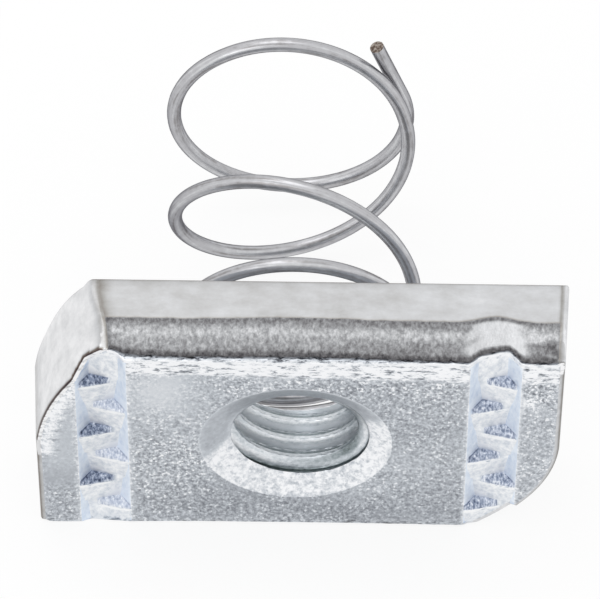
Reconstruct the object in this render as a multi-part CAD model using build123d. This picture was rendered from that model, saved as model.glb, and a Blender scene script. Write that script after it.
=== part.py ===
"""Strut spring nut: a serrated M10 channel nut with a long coil spring on its back.

Millimetres. X runs along the nut, Y along the thread from the serrated front face
to the spring, and Z across the nut, which lies on one of its long edges. The pieces
are drawn with the front face at y = 0 and the thread on the Y axis. Then both move
forward by half the plate, so the origin is in the middle of the threaded hole.
"""
from build123d import *
from math import ceil, cos, pi, radians, sin
import os

# --- nut plate ---------------------------------------------------------------
plate_length = 35.5        # over the two ends, at the front face
plate_width = 20.0         # across the nut, long edge to long edge
plate_thickness = 6.5      # front face to back face
plate_shift = 0.15         # plate centre from the thread axis, along X
end_draft = 0.35           # how much further out each end lies at the back face
corner_radius = 0.6        # the two plain corners

# The other two corners are cut to a wide curve, so the nut turns in its channel.
left_nose_radius = 17.0
left_nose_start = -0.2     # height where the curve leaves the end
left_nose_inset = 4.9      # from the end to the crease on the long edge
right_nose_radius = 13.5
right_nose_start = -0.4
right_nose_inset = 5.4

# --- sheared long edges ------------------------------------------------------
burnish_depth = 3.2        # smooth band next to the back face
fracture_inset = 0.3       # how far the torn band falls in by the front face
roll_height = 1.4          # rolled margin on the front face
roll_depth = 0.15

# --- threaded hole -----------------------------------------------------------
bore_radius = 4.25         # M10 x 1.5, crest of the nut thread
front_sink_radius = 6.55
front_sink_depth = 1.05
back_sink_radius = 5.5
back_sink_depth = 0.8

# --- serrated grooves that bite on the channel lips ---------------------------
groove_spacing = 26.4      # between the two groove centres
groove_width = 3.5         # at the front face
groove_floor = 1.8
groove_depth = 1.0         # at the deep corner of a tooth, half way down the nut
tooth_pitch = 2.87         # one tooth to the next, on alternate walls
tooth_rise = 0.82          # height of a tooth face
first_tooth_drop = 3.35    # from the top long edge to the first tooth
tooth_count = 6
groove_lean = 0.02         # the groove gets this much shallower per mm downwards

# --- spring ------------------------------------------------------------------
wire_diameter = 1.0
coil_radius = 8.25         # centre of the wire
coil_lean = -0.035         # sideways drift of the coil for each mm along Y
active_pitch = 13.4        # rise of one open turn
ring_pitch = 0.3           # the near-flat ring that stands clear of the plate
landing_pitch = 3.4        # where the wire drops from that ring to its seat
free_turns = 0.73          # flat turn at the free end
opening_turns = 0.30       # where the pitch grows
active_turns = 1.17        # at full pitch
closing_turns = 0.16       # where the pitch shrinks
ring_turns = 0.60
tipping_turns = 0.15
landing_turns = 0.50
settling_turns = 0.17
turn_gap = 0.2             # between the seated end and the turn that lands over it
tail_length = 5.6          # straight end of the wire, before the free turn
tail_angle = 71.0          # where the free turn begins, from +Z towards +X

# --- spring seat on the back face --------------------------------------------
seat_depth = 0.3
seat_clearance = 0.05      # between the wire and what holds it
lug_count = 3
lug_width = 2.2
lug_foot = 0.9             # thickness along the radius, at the back face
lug_cap = 0.3              # thickness where it is curled over the wire
lug_wrap = 60.0            # how far round the wire a lug is curled
lug_shoulder = 25.0        # where its outside leaves that curl for the foot

wire_radius = wire_diameter / 2
half_length = plate_length / 2
half_width = plate_width / 2
half_seat = wire_radius + seat_clearance
seat_floor = plate_thickness - seat_depth
seated_y = seat_floor + half_seat

# The flat stretch in the seat ends where the turn that lands over it comes too close.
seated_turns = 1 - settling_turns / 2 - (wire_diameter + turn_gap) / landing_pitch


def outline(y, reach):
    """Face of the plate at depth y, reaching this far to each end.

    It runs over at the two long edges, which are cut flat afterwards.
    """
    over = half_width + corner_radius
    left, right = plate_shift - reach, plate_shift + reach
    left_crease, left_corner = left + left_nose_inset, left + corner_radius
    right_crease, right_corner = right - right_nose_inset, right - corner_radius
    plane = Plane(origin=(0, y, 0), x_dir=(1, 0, 0), z_dir=(0, -1, 0))
    with BuildSketch(plane) as sketch:
        with BuildLine():
            Polyline((left_crease, half_width), (left_crease, over),
                     (right_corner, over), (right_corner, half_width))
            RadiusArc((right_corner, half_width), (right, half_width - corner_radius),
                      corner_radius)
            Line((right, half_width - corner_radius), (right, right_nose_start))
            RadiusArc((right, right_nose_start), (right_crease, -half_width), right_nose_radius)
            Polyline((right_crease, -half_width), (right_crease, -over),
                     (left_corner, -over), (left_corner, -half_width))
            RadiusArc((left_corner, -half_width), (left, corner_radius - half_width),
                      corner_radius)
            Line((left, corner_radius - half_width), (left, left_nose_start))
            RadiusArc((left, left_nose_start), (left_crease, half_width), left_nose_radius)
        make_face()
    return sketch.sketch.face()


def plate_blank():
    """The plain plate, with drafted ends and two flat long edges."""
    front = outline(0, half_length)
    back = outline(plate_thickness, half_length + end_draft)
    between_edges = Box(2 * plate_length, 4 * plate_thickness, plate_width)
    return loft([front, back], ruled=True) & between_edges


def sheared_edge(side):
    """Cutter for the torn band and rolled margin of one long edge; side is 1 or -1."""
    over = plate_thickness
    points = [
        (plate_thickness - burnish_depth, half_width),
        (roll_depth, half_width - fracture_inset),
        (0, half_width - fracture_inset - roll_height),
        (-over, half_width - fracture_inset - roll_height),
        (-over, half_width + over),
        (plate_thickness - burnish_depth, half_width + over),
    ]
    face = make_face(Polyline([(0, y, side * z) for y, z in points], close=True))
    reach = plate_length + over
    return extrude(face, amount=reach, dir=(1, 0, 0), both=True)


def turned_hole():
    """Bore with its front and back countersinks, as one turned cutter."""
    over = 1.0
    front_slope = (front_sink_radius - bore_radius) / front_sink_depth
    back_slope = (back_sink_radius - bore_radius) / back_sink_depth
    back = plate_thickness
    points = [
        (0, -over),
        (front_sink_radius + over * front_slope, -over),
        (bore_radius, front_sink_depth),
        (bore_radius, back - back_sink_depth),
        (back_sink_radius + over * back_slope, back + over),
        (0, back + over),
    ]
    face = make_face(Polyline([(r, y, 0) for r, y in points], close=True))
    return revolve(face, axis=Axis.Y)


def groove_facet(centre_x, top_z, bottom_z, rise_side, depth, fall):
    """Cutter for one flat stretch of a groove's floor.

    Depth is the floor's, at its top in the middle of the groove. The floor rises by
    half a tooth towards rise_side (1 is +X), and deepens by fall over one tooth pitch.
    """
    over = 1.0
    short_of_meeting = 0.95
    wall_run = (groove_width - groove_floor) / 2 / groove_depth
    reach = short_of_meeting * groove_width / 2 / wall_run
    mouth = groove_width / 2 + over * wall_run
    root = groove_width / 2 - reach * wall_run
    section = make_face(Polyline([
        (centre_x - mouth, -over, top_z),
        (centre_x + mouth, -over, top_z),
        (centre_x + root, reach, top_z),
        (centre_x - root, reach, top_z),
    ], close=True))
    prism = extrude(section, amount=top_z - bottom_z, dir=(0, 0, -1))
    across = Vector(groove_floor, -rise_side * tooth_rise / 2, 0)
    down = Vector(0, fall, -tooth_pitch)
    start = Vector(centre_x, depth + groove_lean * top_z, top_z)
    floor = Plane(origin=start, z_dir=across.cross(down))
    return split(prism, bisect_by=floor, keep=Keep.BOTTOM)


def serrated_groove(side):
    """All the facets of one groove; side is 1 on the +X half and -1 on the other."""
    over = 1.0
    centre_x = plate_shift + side * groove_spacing / 2
    first = half_width - first_tooth_drop
    entry_depth = groove_depth - tooth_rise / 4
    tooth_depth = groove_depth - tooth_rise * 3 / 4
    facets = [groove_facet(centre_x, half_width + over, first, -side, entry_depth, 0)]
    for tooth in range(tooth_count):
        upper = first - tooth * tooth_pitch
        lower = upper - tooth_pitch
        if tooth == tooth_count - 1:
            lower = -half_width - over
        rise_side = side if tooth % 2 == 0 else -side
        facets.append(groove_facet(centre_x, upper, lower, rise_side, tooth_depth, tooth_rise / 2))
    return facets


def coil_stretches():
    """Turns, pitch at the start and pitch at the end of each stretch, free end first."""
    return [
        (free_turns, 0, 0),
        (opening_turns, 0, active_pitch),
        (active_turns, active_pitch, active_pitch),
        (closing_turns, active_pitch, ring_pitch),
        (ring_turns, ring_pitch, ring_pitch),
        (tipping_turns, ring_pitch, landing_pitch),
        (landing_turns, landing_pitch, landing_pitch),
        (settling_turns, landing_pitch, 0),
        (seated_turns, 0, 0),
    ]


def staked_lug(back_angle):
    """One lip of the plate, peened over the wire this far back from its seated end."""
    turns = sum(count for count, _, _ in coil_stretches())
    along_radius = Plane(origin=(0, 0, 0), x_dir=(0, 0, 1), z_dir=(-1, 0, 0))
    wire = (coil_radius, seated_y)
    with BuildSketch(along_radius) as sketch:
        with BuildLine():
            inside = CenterArc(wire, half_seat, 0, lug_wrap)
            outside = CenterArc(wire, half_seat + lug_cap, lug_shoulder, lug_wrap - lug_shoulder)
            Line(inside @ 1, outside @ 1)
            foot = coil_radius + half_seat
            Polyline(outside @ 0, (foot + lug_foot, plate_thickness),
                     (foot + lug_foot, seat_floor), (foot, seat_floor), inside @ 0)
        make_face()
    lug = extrude(sketch.sketch, amount=lug_width / 2, both=True)
    return lug.rotate(Axis.Y, tail_angle + 360 * turns - back_angle)


def build_nut():
    """The plate with its hole, grooves, spring seat and lugs."""
    nut = plate_blank() - sheared_edge(1) - sheared_edge(-1) - turned_hole()
    for facet in serrated_groove(1) + serrated_groove(-1):
        nut = nut - facet
    seat_plane = Plane(origin=(0, seat_floor, 0), x_dir=(1, 0, 0), z_dir=(0, 1, 0))
    seat = seat_plane * (Circle(coil_radius + half_seat) - Circle(coil_radius - half_seat))
    nut = nut - extrude(seat, amount=2 * seat_depth)
    for index in range(lug_count):
        nut = nut + staked_lug(360 * seated_turns * (index + 0.5) / lug_count)
    return nut


def rise_after(turn):
    """Y and pitch of the wire after this many turns from the free end."""
    stretches = coil_stretches()
    y = seated_y + sum(count * (start + end) / 2 for count, start, end in stretches)
    pitch = 0
    for count, start, end in stretches:
        part = min(turn, count)
        pitch = start + (end - start) * part / count
        y -= part * (start + pitch) / 2
        turn -= part
        if turn <= 0:
            break
    return y, pitch


def wire_place(turn):
    """Point of the centre line after this many turns from the free end."""
    angle = radians(tail_angle + 360 * turn)
    y, _ = rise_after(turn)
    drift = coil_lean * (y - seated_y)
    return Vector(drift + coil_radius * sin(angle), y, coil_radius * cos(angle))


def wire_heading(turn):
    """Direction of the wire there, as its travel per turn."""
    angle = radians(tail_angle + 360 * turn)
    _, pitch = rise_after(turn)
    around = 2 * pi * coil_radius
    return Vector(around * cos(angle) - coil_lean * pitch, -pitch, -around * sin(angle))


def wire_path():
    """Centre line of the wire, from the end of its tail to its seated end."""
    turns = sum(count for count, _, _ in coil_stretches())
    leave = wire_heading(0).normalized()
    edges = [Edge.make_line(wire_place(0) - leave * tail_length, wire_place(0))]
    spans = ceil(turns * 2)    # about half a turn each
    steps = 8                  # points along each
    for span in range(spans):
        places = [turns * (span + step / steps) / spans for step in range(steps + 1)]
        ends = [wire_heading(places[0]), wire_heading(places[-1])]
        points = [wire_place(turn) for turn in places]
        edges.append(Edge.make_spline(points, tangents=ends, parameters=places, scale=False))
    return Wire(edges)


def build_spring():
    """One round wire, swept along its path."""
    path = wire_path()
    section = Plane(origin=path @ 0, z_dir=path % 0) * Circle(wire_radius)
    return sweep(section, path=path, transition=Transition.ROUND)


os.makedirs("parts", exist_ok=True)
to_hole_centre = Pos(0, -plate_thickness / 2, 0)
export_step(to_hole_centre * build_nut(), "parts/nut_body.step")
export_step(to_hole_centre * build_spring(), "parts/coil_spring.step")
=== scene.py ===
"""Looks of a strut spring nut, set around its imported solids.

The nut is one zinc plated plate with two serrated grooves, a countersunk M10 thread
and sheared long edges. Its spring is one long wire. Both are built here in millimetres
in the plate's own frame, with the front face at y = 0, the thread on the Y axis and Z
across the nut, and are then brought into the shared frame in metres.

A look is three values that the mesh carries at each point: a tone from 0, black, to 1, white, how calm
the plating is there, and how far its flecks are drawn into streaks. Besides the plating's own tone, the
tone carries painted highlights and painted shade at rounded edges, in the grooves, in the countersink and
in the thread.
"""
from __future__ import annotations

import logging
from dataclasses import dataclass, field
from enum import Enum
from math import atan2, ceil, cos, hypot, pi, radians, sin, sqrt, tan

import bmesh
import bpy
import numpy as np
from mathutils import Matrix, Vector, noise
from mathutils.geometry import delaunay_2d_cdt

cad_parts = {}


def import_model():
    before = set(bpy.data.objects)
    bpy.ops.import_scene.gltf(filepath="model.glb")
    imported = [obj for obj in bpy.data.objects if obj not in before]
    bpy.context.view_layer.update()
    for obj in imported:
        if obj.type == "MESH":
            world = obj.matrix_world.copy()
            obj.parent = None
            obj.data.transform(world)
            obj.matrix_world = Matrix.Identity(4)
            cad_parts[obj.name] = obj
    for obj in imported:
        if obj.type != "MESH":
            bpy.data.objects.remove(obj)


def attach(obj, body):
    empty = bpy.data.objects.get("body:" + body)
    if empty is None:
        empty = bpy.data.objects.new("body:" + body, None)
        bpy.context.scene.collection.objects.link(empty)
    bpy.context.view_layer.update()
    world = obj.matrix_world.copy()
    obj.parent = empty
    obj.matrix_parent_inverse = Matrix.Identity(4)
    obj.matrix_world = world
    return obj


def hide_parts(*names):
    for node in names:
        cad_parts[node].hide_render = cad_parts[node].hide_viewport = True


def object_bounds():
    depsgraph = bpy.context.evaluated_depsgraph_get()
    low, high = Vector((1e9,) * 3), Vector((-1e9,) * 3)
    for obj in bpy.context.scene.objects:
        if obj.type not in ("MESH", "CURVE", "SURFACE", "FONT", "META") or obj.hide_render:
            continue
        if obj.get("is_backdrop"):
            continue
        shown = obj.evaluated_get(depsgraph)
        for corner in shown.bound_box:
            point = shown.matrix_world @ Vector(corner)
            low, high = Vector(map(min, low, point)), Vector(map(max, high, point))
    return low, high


MM = 0.001
Line = list[tuple[float, float]]
Values = np.ndarray | float
log = logging.getLogger("strut_spring_nut")


class Region(Enum):
    """The differently finished regions of the plate."""

    FACE = 0
    BURNISHED = 1
    TORN = 2
    GROOVE_WALL = 3
    GROOVE_FLOOR = 4
    TOOTH = 5
    SINK = 6
    THREAD = 7
    END = 8
    ROLLED = 9


# --- small tools -------------------------------------------------------------


def tint(code: str) -> tuple[float, float, float, float]:
    """Linear colour of a hexadecimal sRGB code.

    Args:
        code: six hexadecimal digits.

    Returns:
        Red, green, blue and alpha for a shader socket.
    """
    channels = [int(code[i:i + 2], 16) / 255 for i in (0, 2, 4)]
    linear = [c / 12.92 if c <= 0.04045 else ((c + 0.055) / 1.055) ** 2.4 for c in channels]
    return linear[0], linear[1], linear[2], 1.0


def smooth_max(a: np.ndarray, b: Values, softness: Values) -> np.ndarray:
    """Larger of two depths, with the corner between them rounded.

    Args:
        a: first depth.
        b: second depth.
        softness: difference over which the two blend.

    Returns:
        The blended depth.
    """
    share = np.clip(0.5 + 0.5 * (a - b) / softness, 0, 1)
    return b + (a - b) * share + softness * share * (1 - share)


def ease(value: Values, start: Values, run: float) -> Values:
    """Go smoothly from 0 to 1 while a value goes on from start by run.

    Args:
        value: one number or many.
        start: the value at which the way begins.
        run: how far on it ends, below 0 where it ends at a smaller value.

    Returns:
        The share of the way, held at both ends.
    """
    t = np.clip((value - start) / run, 0, 1)
    return t * t * (3 - 2 * t)


def bell(value: Values, centre: Values, width: float) -> Values:
    """Hump of height 1 at the centre that dies away over about its width."""
    return np.exp(-((value - centre) / width) ** 2)


def blend(a: Values, b: Values, share: Values) -> Values:
    """Value between a and b, which is a where the share is 0."""
    return a + (b - a) * share


def waver(seed: float, *axes: tuple[np.ndarray, float]) -> np.ndarray:
    """Smooth noise at many points.

    Args:
        seed: offset that picks the pattern.
        axes: up to three coordinates of the points, each with its waves per millimetre.

    Returns:
        One value from about -1 to 1 for each point.
    """
    moved = [where * waves + seed for where, waves in axes]
    moved += [seed] * (3 - len(moved))
    spread = np.broadcast_arrays(*moved)
    rows = np.stack([part.ravel() for part in spread], axis=1)
    return np.array([noise.noise(Vector(row)) for row in rows]).reshape(spread[0].shape)


def look(tone: Values, calm: Values = 0.0, drawn: Values = 0.0) -> np.ndarray:
    """Gather how the plating looks at many points.

    Args:
        tone: from 0, black, to 1, white.
        calm: how far the plating's flecks die down, from 0 to 1.
        drawn: how far they turn into streaks along the edge, from 0 to 1.

    Returns:
        The three values for each point.
    """
    return np.stack(np.broadcast_arrays(tone, calm, drawn), axis=-1).astype(float)


def arc_between(start: tuple[float, float], end: tuple[float, float], radius: float,
                spacing: float) -> Line:
    """Points of an arc that bulges to the left of its travel.

    Args:
        start: first end, which is included.
        end: last end, which is left out.
        radius: of the arc.
        spacing: between points.

    Returns:
        The points in order.
    """
    dx, dz = end[0] - start[0], end[1] - start[1]
    chord = hypot(dx, dz)
    rise = sqrt(radius ** 2 - chord ** 2 / 4) / chord
    centre_x = (start[0] + end[0]) / 2 + dz * rise
    centre_z = (start[1] + end[1]) / 2 - dx * rise
    first = atan2(start[1] - centre_z, start[0] - centre_x)
    last = atan2(end[1] - centre_z, end[0] - centre_x)
    if last > first:
        last -= 2 * pi
    count = max(4, ceil(radius * (first - last) / spacing))
    angles = [first + (last - first) * i / count for i in range(count)]
    return [(centre_x + radius * cos(a), centre_z + radius * sin(a)) for a in angles]


def line_between(start: tuple[float, float], end: tuple[float, float], spacing: float) -> Line:
    """Evenly spaced points of a straight line.

    Args:
        start: first end, which is included.
        end: last end, which is left out.
        spacing: between points, at most.

    Returns:
        The points in order.
    """
    dx, dz = end[0] - start[0], end[1] - start[1]
    count = max(1, ceil(hypot(dx, dz) / spacing))
    return [(start[0] + dx * i / count, start[1] + dz * i / count) for i in range(count)]


def circle(radius: float, count: int, closed: bool = False) -> Line:
    """Points of a circle about the thread axis, from +Z towards +X.

    Args:
        radius: of the circle.
        count: how many points it has.
        closed: whether the first point comes again at the end.

    Returns:
        The points in order.
    """
    turns = [2 * pi * i / count for i in range(count)]
    points = [(radius * sin(a), radius * cos(a)) for a in turns]
    return points + points[:closed]


def inside(points: np.ndarray, loop: np.ndarray) -> np.ndarray:
    """Which points lie inside a closed loop, by counting the sides they cross.

    Args:
        points: x and z of each point.
        loop: x and z of each corner of the loop.

    Returns:
        True for each point inside.
    """
    x, z = points[:, 0:1], points[:, 1:2]
    ax, az = loop[:, 0], loop[:, 1]
    bx, bz = np.roll(ax, -1), np.roll(az, -1)
    spans = (az > z) != (bz > z)
    with np.errstate(divide="ignore", invalid="ignore"):
        at = (bx - ax) * (z - az) / (bz - az) + ax
    return (spans & (x < at)).sum(axis=1) % 2 == 1


def kept_inside(lines: list[Line], loop: np.ndarray) -> list[Line]:
    """Cut some lines at a loop.

    Args:
        lines: what is cut.
        loop: x and z of each corner of the loop.

    Returns:
        The stretches of two points or more that lie inside it.
    """
    kept = []
    for line in lines:
        run: Line = []
        for point, within in zip(line, inside(np.array(line), loop)):
            if within:
                run.append(point)
                continue
            kept.append(run)
            run = []
        kept.append(run)
    return [run for run in kept if len(run) > 1]


def triangulate(loops: list[np.ndarray], guides: list[Line],
                fill: np.ndarray) -> tuple[np.ndarray, np.ndarray]:
    """Triangles of a flat sheet between an outer loop and its holes.

    Args:
        loops: the outer loop first, which bulges outwards everywhere, then each hole.
        guides: open lines inside it that the triangles' sides must follow.
        fill: loose points between them.

    Returns:
        The sheet's points, and three point numbers for each triangle.
    """
    points: Line = []
    sides: list[tuple[int, int]] = []
    for loop in loops:
        first = len(points)
        points += [tuple(p) for p in loop]
        sides += [(first + i, first + (i + 1) % len(loop)) for i in range(len(loop))]
    for guide in guides:
        first = len(points)
        points += guide
        sides += [(first + i, first + i + 1) for i in range(len(guide) - 1)]
    points += [tuple(p) for p in fill]
    found = delaunay_2d_cdt([Vector(p) for p in points], sides, [], 0, 1e-5, False)
    made = np.array([(p.x, p.y) for p in found[0]])
    faces = np.array([f for f in found[2] if len(f) == 3])
    middles = made[faces].mean(axis=1)
    keep = inside(middles, loops[0])
    for hole in loops[1:]:
        keep &= ~inside(middles, hole)
    faces = faces[keep]
    used = np.unique(faces)
    numbers = np.zeros(len(made), int)
    numbers[used] = np.arange(len(used))
    return made[used], numbers[faces]


def border(faces: np.ndarray) -> list[list[int]]:
    """Find the edges of a sheet of triangles.

    Args:
        faces: three point numbers for each triangle.

    Returns:
        One closed run of point numbers for each edge.
    """
    following: dict[int, list[int]] = {}
    sides = {(f[i], f[(i + 1) % 3]) for f in faces.tolist() for i in range(3)}
    for a, b in sorted(sides):
        if (b, a) not in sides:
            following.setdefault(a, []).append(b)
    runs = []
    while following:
        run, here = [], next(iter(following))
        while here in following:
            run.append(here)
            choices = following[here]
            after = choices.pop()
            if not choices:
                del following[here]
            here = after
        runs.append(run)
    return runs


@dataclass
class Skin:
    """Points and faces gathered for one mesh, in millimetres in the plate's frame.

    The layer is the name under which the mesh carries three values for each point.
    """

    layer: str = "look"
    weld_distance: float = 0.003
    points: list[np.ndarray] = field(default_factory=list)
    values: list[np.ndarray] = field(default_factory=list)
    faces: list[tuple[int, ...]] = field(default_factory=list)
    regions: list[int] = field(default_factory=list)
    count: int = 0

    def add_points(self, points: np.ndarray, values: np.ndarray) -> int:
        """Add points.

        Args:
            points: three coordinates for each.
            values: three values for each, or three for all.

        Returns:
            The number of the first new point.
        """
        first = self.count
        self.points.append(points)
        self.values.append(np.broadcast_to(values, points.shape))
        self.count += len(points)
        return first

    def add_sheet(self, points: np.ndarray, faces: np.ndarray, regions: np.ndarray,
                  values: np.ndarray) -> None:
        """Add triangles.

        Args:
            points: three coordinates for each point.
            faces: three of these points for each triangle.
            regions: the region of each triangle.
            values: three values for each point, or three for all.
        """
        first = self.add_points(points, values)
        self.faces += [tuple(first + i for i in f) for f in faces.tolist()]
        self.regions += regions.tolist()

    def add_grid(self, grid: np.ndarray, regions: np.ndarray | int, values: np.ndarray) -> None:
        """Add a grid of points that closes on itself along its second axis.

        Args:
            grid: rows by columns by three coordinates.
            regions: one region for each row and column of faces, or one for all.
            values: rows by columns by three values, or three for all.
        """
        rows, columns, _ = grid.shape
        spread = np.broadcast_to(values, grid.shape)
        first = self.add_points(grid.reshape(-1, 3), spread.reshape(-1, 3))
        kinds = np.broadcast_to(regions, (rows - 1, columns))
        for r in range(rows - 1):
            near, far = first + r * columns, first + (r + 1) * columns
            for c in range(columns):
                d = (c + 1) % columns
                self.faces.append((near + c, near + d, far + d, far + c))
                self.regions.append(int(kinds[r, c]))

    def add_cap(self, ring: np.ndarray, region: int, values: np.ndarray, turn: int) -> None:
        """Close a ring of points with one flat face.

        Args:
            ring: three coordinates for each point.
            region: of the face.
            values: three values for each point, or three for all.
            turn: 1 for a face in the ring's order, -1 for one against it.
        """
        first = self.add_points(ring, values)
        self.faces.append(tuple(range(first, first + len(ring)))[::turn])
        self.regions.append(region)

    def to_object(self, name: str, shift_y: float, materials: list[bpy.types.Material],
                  sharp_angle: float) -> bpy.types.Object:
        """Make the mesh, closed and smooth, in metres in the shared frame.

        Args:
            name: of the new object.
            shift_y: how far it moves along Y, in millimetres.
            materials: one for each region number.
            sharp_angle: sides that turn by more degrees than this stay sharp.

        Returns:
            The new object.
        """
        all_points = (np.concatenate(self.points) + [0, shift_y, 0]) * MM
        mesh = bpy.data.meshes.new(name)
        mesh.from_pydata(all_points.tolist(), [], self.faces)
        layer = mesh.attributes.new(self.layer, "FLOAT_VECTOR", "POINT")
        layer.data.foreach_set("vector", np.concatenate(self.values).astype(np.float32).ravel())
        for material in materials:
            mesh.materials.append(material)
        mesh.polygons.foreach_set("material_index", np.array(self.regions, np.int32))
        weld(mesh, self.weld_distance * MM)
        mesh.shade_smooth()
        mesh.set_sharp_from_angle(angle=radians(sharp_angle))
        piece = bpy.data.objects.new(name, mesh)
        bpy.context.scene.collection.objects.link(piece)
        return piece


def weld(mesh: bpy.types.Mesh, distance: float) -> None:
    """Join points that coincide, drop faces with no area and turn all faces outwards.

    Args:
        mesh: what is welded, in place.
        distance: points nearer to each other than this are joined, in metres.
    """
    work = bmesh.new()
    work.from_mesh(mesh)
    bmesh.ops.remove_doubles(work, verts=work.verts, dist=distance)
    bmesh.ops.dissolve_degenerate(work, dist=distance / 10, edges=work.edges)
    bmesh.ops.recalc_face_normals(work, faces=work.faces)
    work.to_mesh(mesh)
    work.free()


@dataclass(frozen=True)
class Ripple:
    """Smooth noise over a surface: its height, its waves per mm each way and its seed."""

    height: float
    across: float
    up: float
    seed: float

    def at(self, x: np.ndarray, z: np.ndarray) -> np.ndarray:
        """Height at some points, from about minus to plus the greatest."""
        return self.height * waver(self.seed, (x, self.across), (z, self.up))


@dataclass(frozen=True)
class Spot:
    """A soft oval patch of a surface: its middle, its half widths and its strength."""

    x: float
    z: float
    half_x: float
    half_z: float
    strength: float = 1.0

    def at(self, x: np.ndarray, z: np.ndarray) -> np.ndarray:
        """How strong the patch is at some points."""
        return self.strength * bell(x, self.x, self.half_x) * bell(z, self.z, self.half_z)


# --- the plate's features ----------------------------------------------------


@dataclass(frozen=True)
class Nose:
    """A corner of the plate cut to a wide curve.

    It leaves the end at the height of start and meets the long edge at its inset from
    the end. The step is the spacing of its points.
    """

    radius: float
    start: float
    inset: float
    step: float


@dataclass(frozen=True)
class Sink:
    """The countersink on the front face: a painted reflection makes it bright below a wavy line, and it
    is duller at the upper left.
    """

    radius: float = 6.55
    bore: float = 4.25
    depth: float = 1.05
    lip: float = 0.07
    reflection_tone: float = 0.90
    side_gain: float = 0.05
    dull_tone: float = 0.73
    top_gain: float = 0.03
    dull_calm: float = 0.7
    rim_gain: float = 0.10
    rim_width: float = 0.09

    def depth_at(self, radius: Values) -> Values:
        """Depth of the cone at a distance from the axis; negative outside it."""
        return (self.radius - radius) * self.depth / (self.radius - self.bore)

    def radius_at(self, y: np.ndarray) -> np.ndarray:
        """Radius of the cone at a depth."""
        return self.radius - y * (self.radius - self.bore) / self.depth

    def look_at(self, x: np.ndarray, z: np.ndarray) -> np.ndarray:
        """Look of the cone: a painted reflection brightens it below a wavy line and at the sides, and it
        is duller at the upper left.

        Args:
            x: along the plate.
            z: across the plate.

        Returns:
            One look for each point.
        """
        # painted reflection: bright below a wavy line that rises to the right, brighter still at the
        # sides
        dull_from = 0.45 + 0.36 * x + 0.25 * np.sin(2.3 * x)
        reflecting = ease(z - dull_from, 0.75, -1.5)
        dull = self.dull_tone + self.top_gain * ease(z, 3, 3)
        tone = blend(dull, self.reflection_tone + self.side_gain * ease(np.abs(x), 3.4, 1), reflecting)
        rim = bell(np.hypot(x, z), self.radius - self.rim_width / 3, self.rim_width)
        return look(tone + self.rim_gain * rim * (1 - reflecting), self.dull_calm * (1 - reflecting))


@dataclass(frozen=True)
class ScrewThread:
    """The nut's M10 x 1.5 thread, between the two countersinks.

    The shares are of one pitch. The lead in says where the first turn starts.
    """

    pitch: float = 1.5
    crest: float = 4.25
    root: float = 5.02
    crest_share: float = 0.16
    root_share: float = 0.17
    rounding: float = 0.35
    lead_in: float = 0.22
    back_radius: float = 5.5
    back_depth: float = 0.8
    tone: float = 0.88
    flank_highlight: float = 0.26
    flank_shade: float = 0.10
    root_shade: float = 0.33
    mouth_shade: float = 0.34
    mouth_depth: float = 1.38

    def phase(self, angle: np.ndarray, y: np.ndarray) -> np.ndarray:
        """Share of a turn that has passed at an angle and depth; 0 and 1 are crests."""
        return (y / self.pitch - angle / (2 * pi) + self.lead_in) % 1.0

    def radius_at(self, angle: np.ndarray, y: np.ndarray) -> np.ndarray:
        """Radius of the threaded wall.

        Args:
            angle: from +Z towards +X, in radians.
            y: depth from the front face.

        Returns:
            The radius there, rounded at crests and roots.
        """
        away = np.abs(self.phase(angle, y) - 0.5) * 2
        flank = 1 - self.crest_share - self.root_share
        straight = np.clip((away - self.root_share) / flank, 0, 1)
        rise = blend(straight, ease(away, self.root_share, flank), self.rounding)
        return self.root - (self.root - self.crest) * rise

    def look_at(self, angle: np.ndarray, y: np.ndarray) -> np.ndarray:
        """Look of the threaded wall: each turn has painted shade in its root and a painted highlight on
        the flank next to it, with painted shade at the mouth and on both sides.

        Args:
            angle: from +Z towards +X, in radians.
            y: depth from the front face.

        Returns:
            One look for each point.
        """
        forward = (0.5 - self.phase(angle, y)) % 1.0
        from_root = np.minimum(forward, 1 - forward)
        # painted highlight on the flank, painted shade beside it, in the root and at the mouth
        tone = self.tone + self.flank_highlight * bell(forward, 0.82, 0.09)
        tone -= self.flank_shade * bell(forward, 0.32, 0.15)
        tone -= self.root_shade * bell(from_root, 0, 0.12)
        tone -= self.mouth_shade * bell(y, self.mouth_depth, 0.27) * ease(-np.cos(angle), -0.2, 1)
        # painted shade on the right and the left side of the bore
        right, left = ease(np.sin(angle), 0.55, 0.3), ease(-np.sin(angle), 0.6, 0.3)
        return look(tone - 0.14 * right - 0.08 * left)

    def back_radius_at(self, y: np.ndarray, thickness: float) -> np.ndarray:
        """Radius of the countersink on the back face, at a depth from the front face."""
        slope = (self.back_radius - self.crest) / self.back_depth
        return self.back_radius - (thickness - y) * slope


@dataclass(frozen=True)
class Stretch:
    """A flat stretch of a groove's floor.

    It starts at a height, is raised towards one side (1 is +X), has a depth at its top
    in the middle of the groove, and deepens by its fall over one tooth pitch.
    """

    top: float
    raised: int
    depth: float
    fall: float


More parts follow.
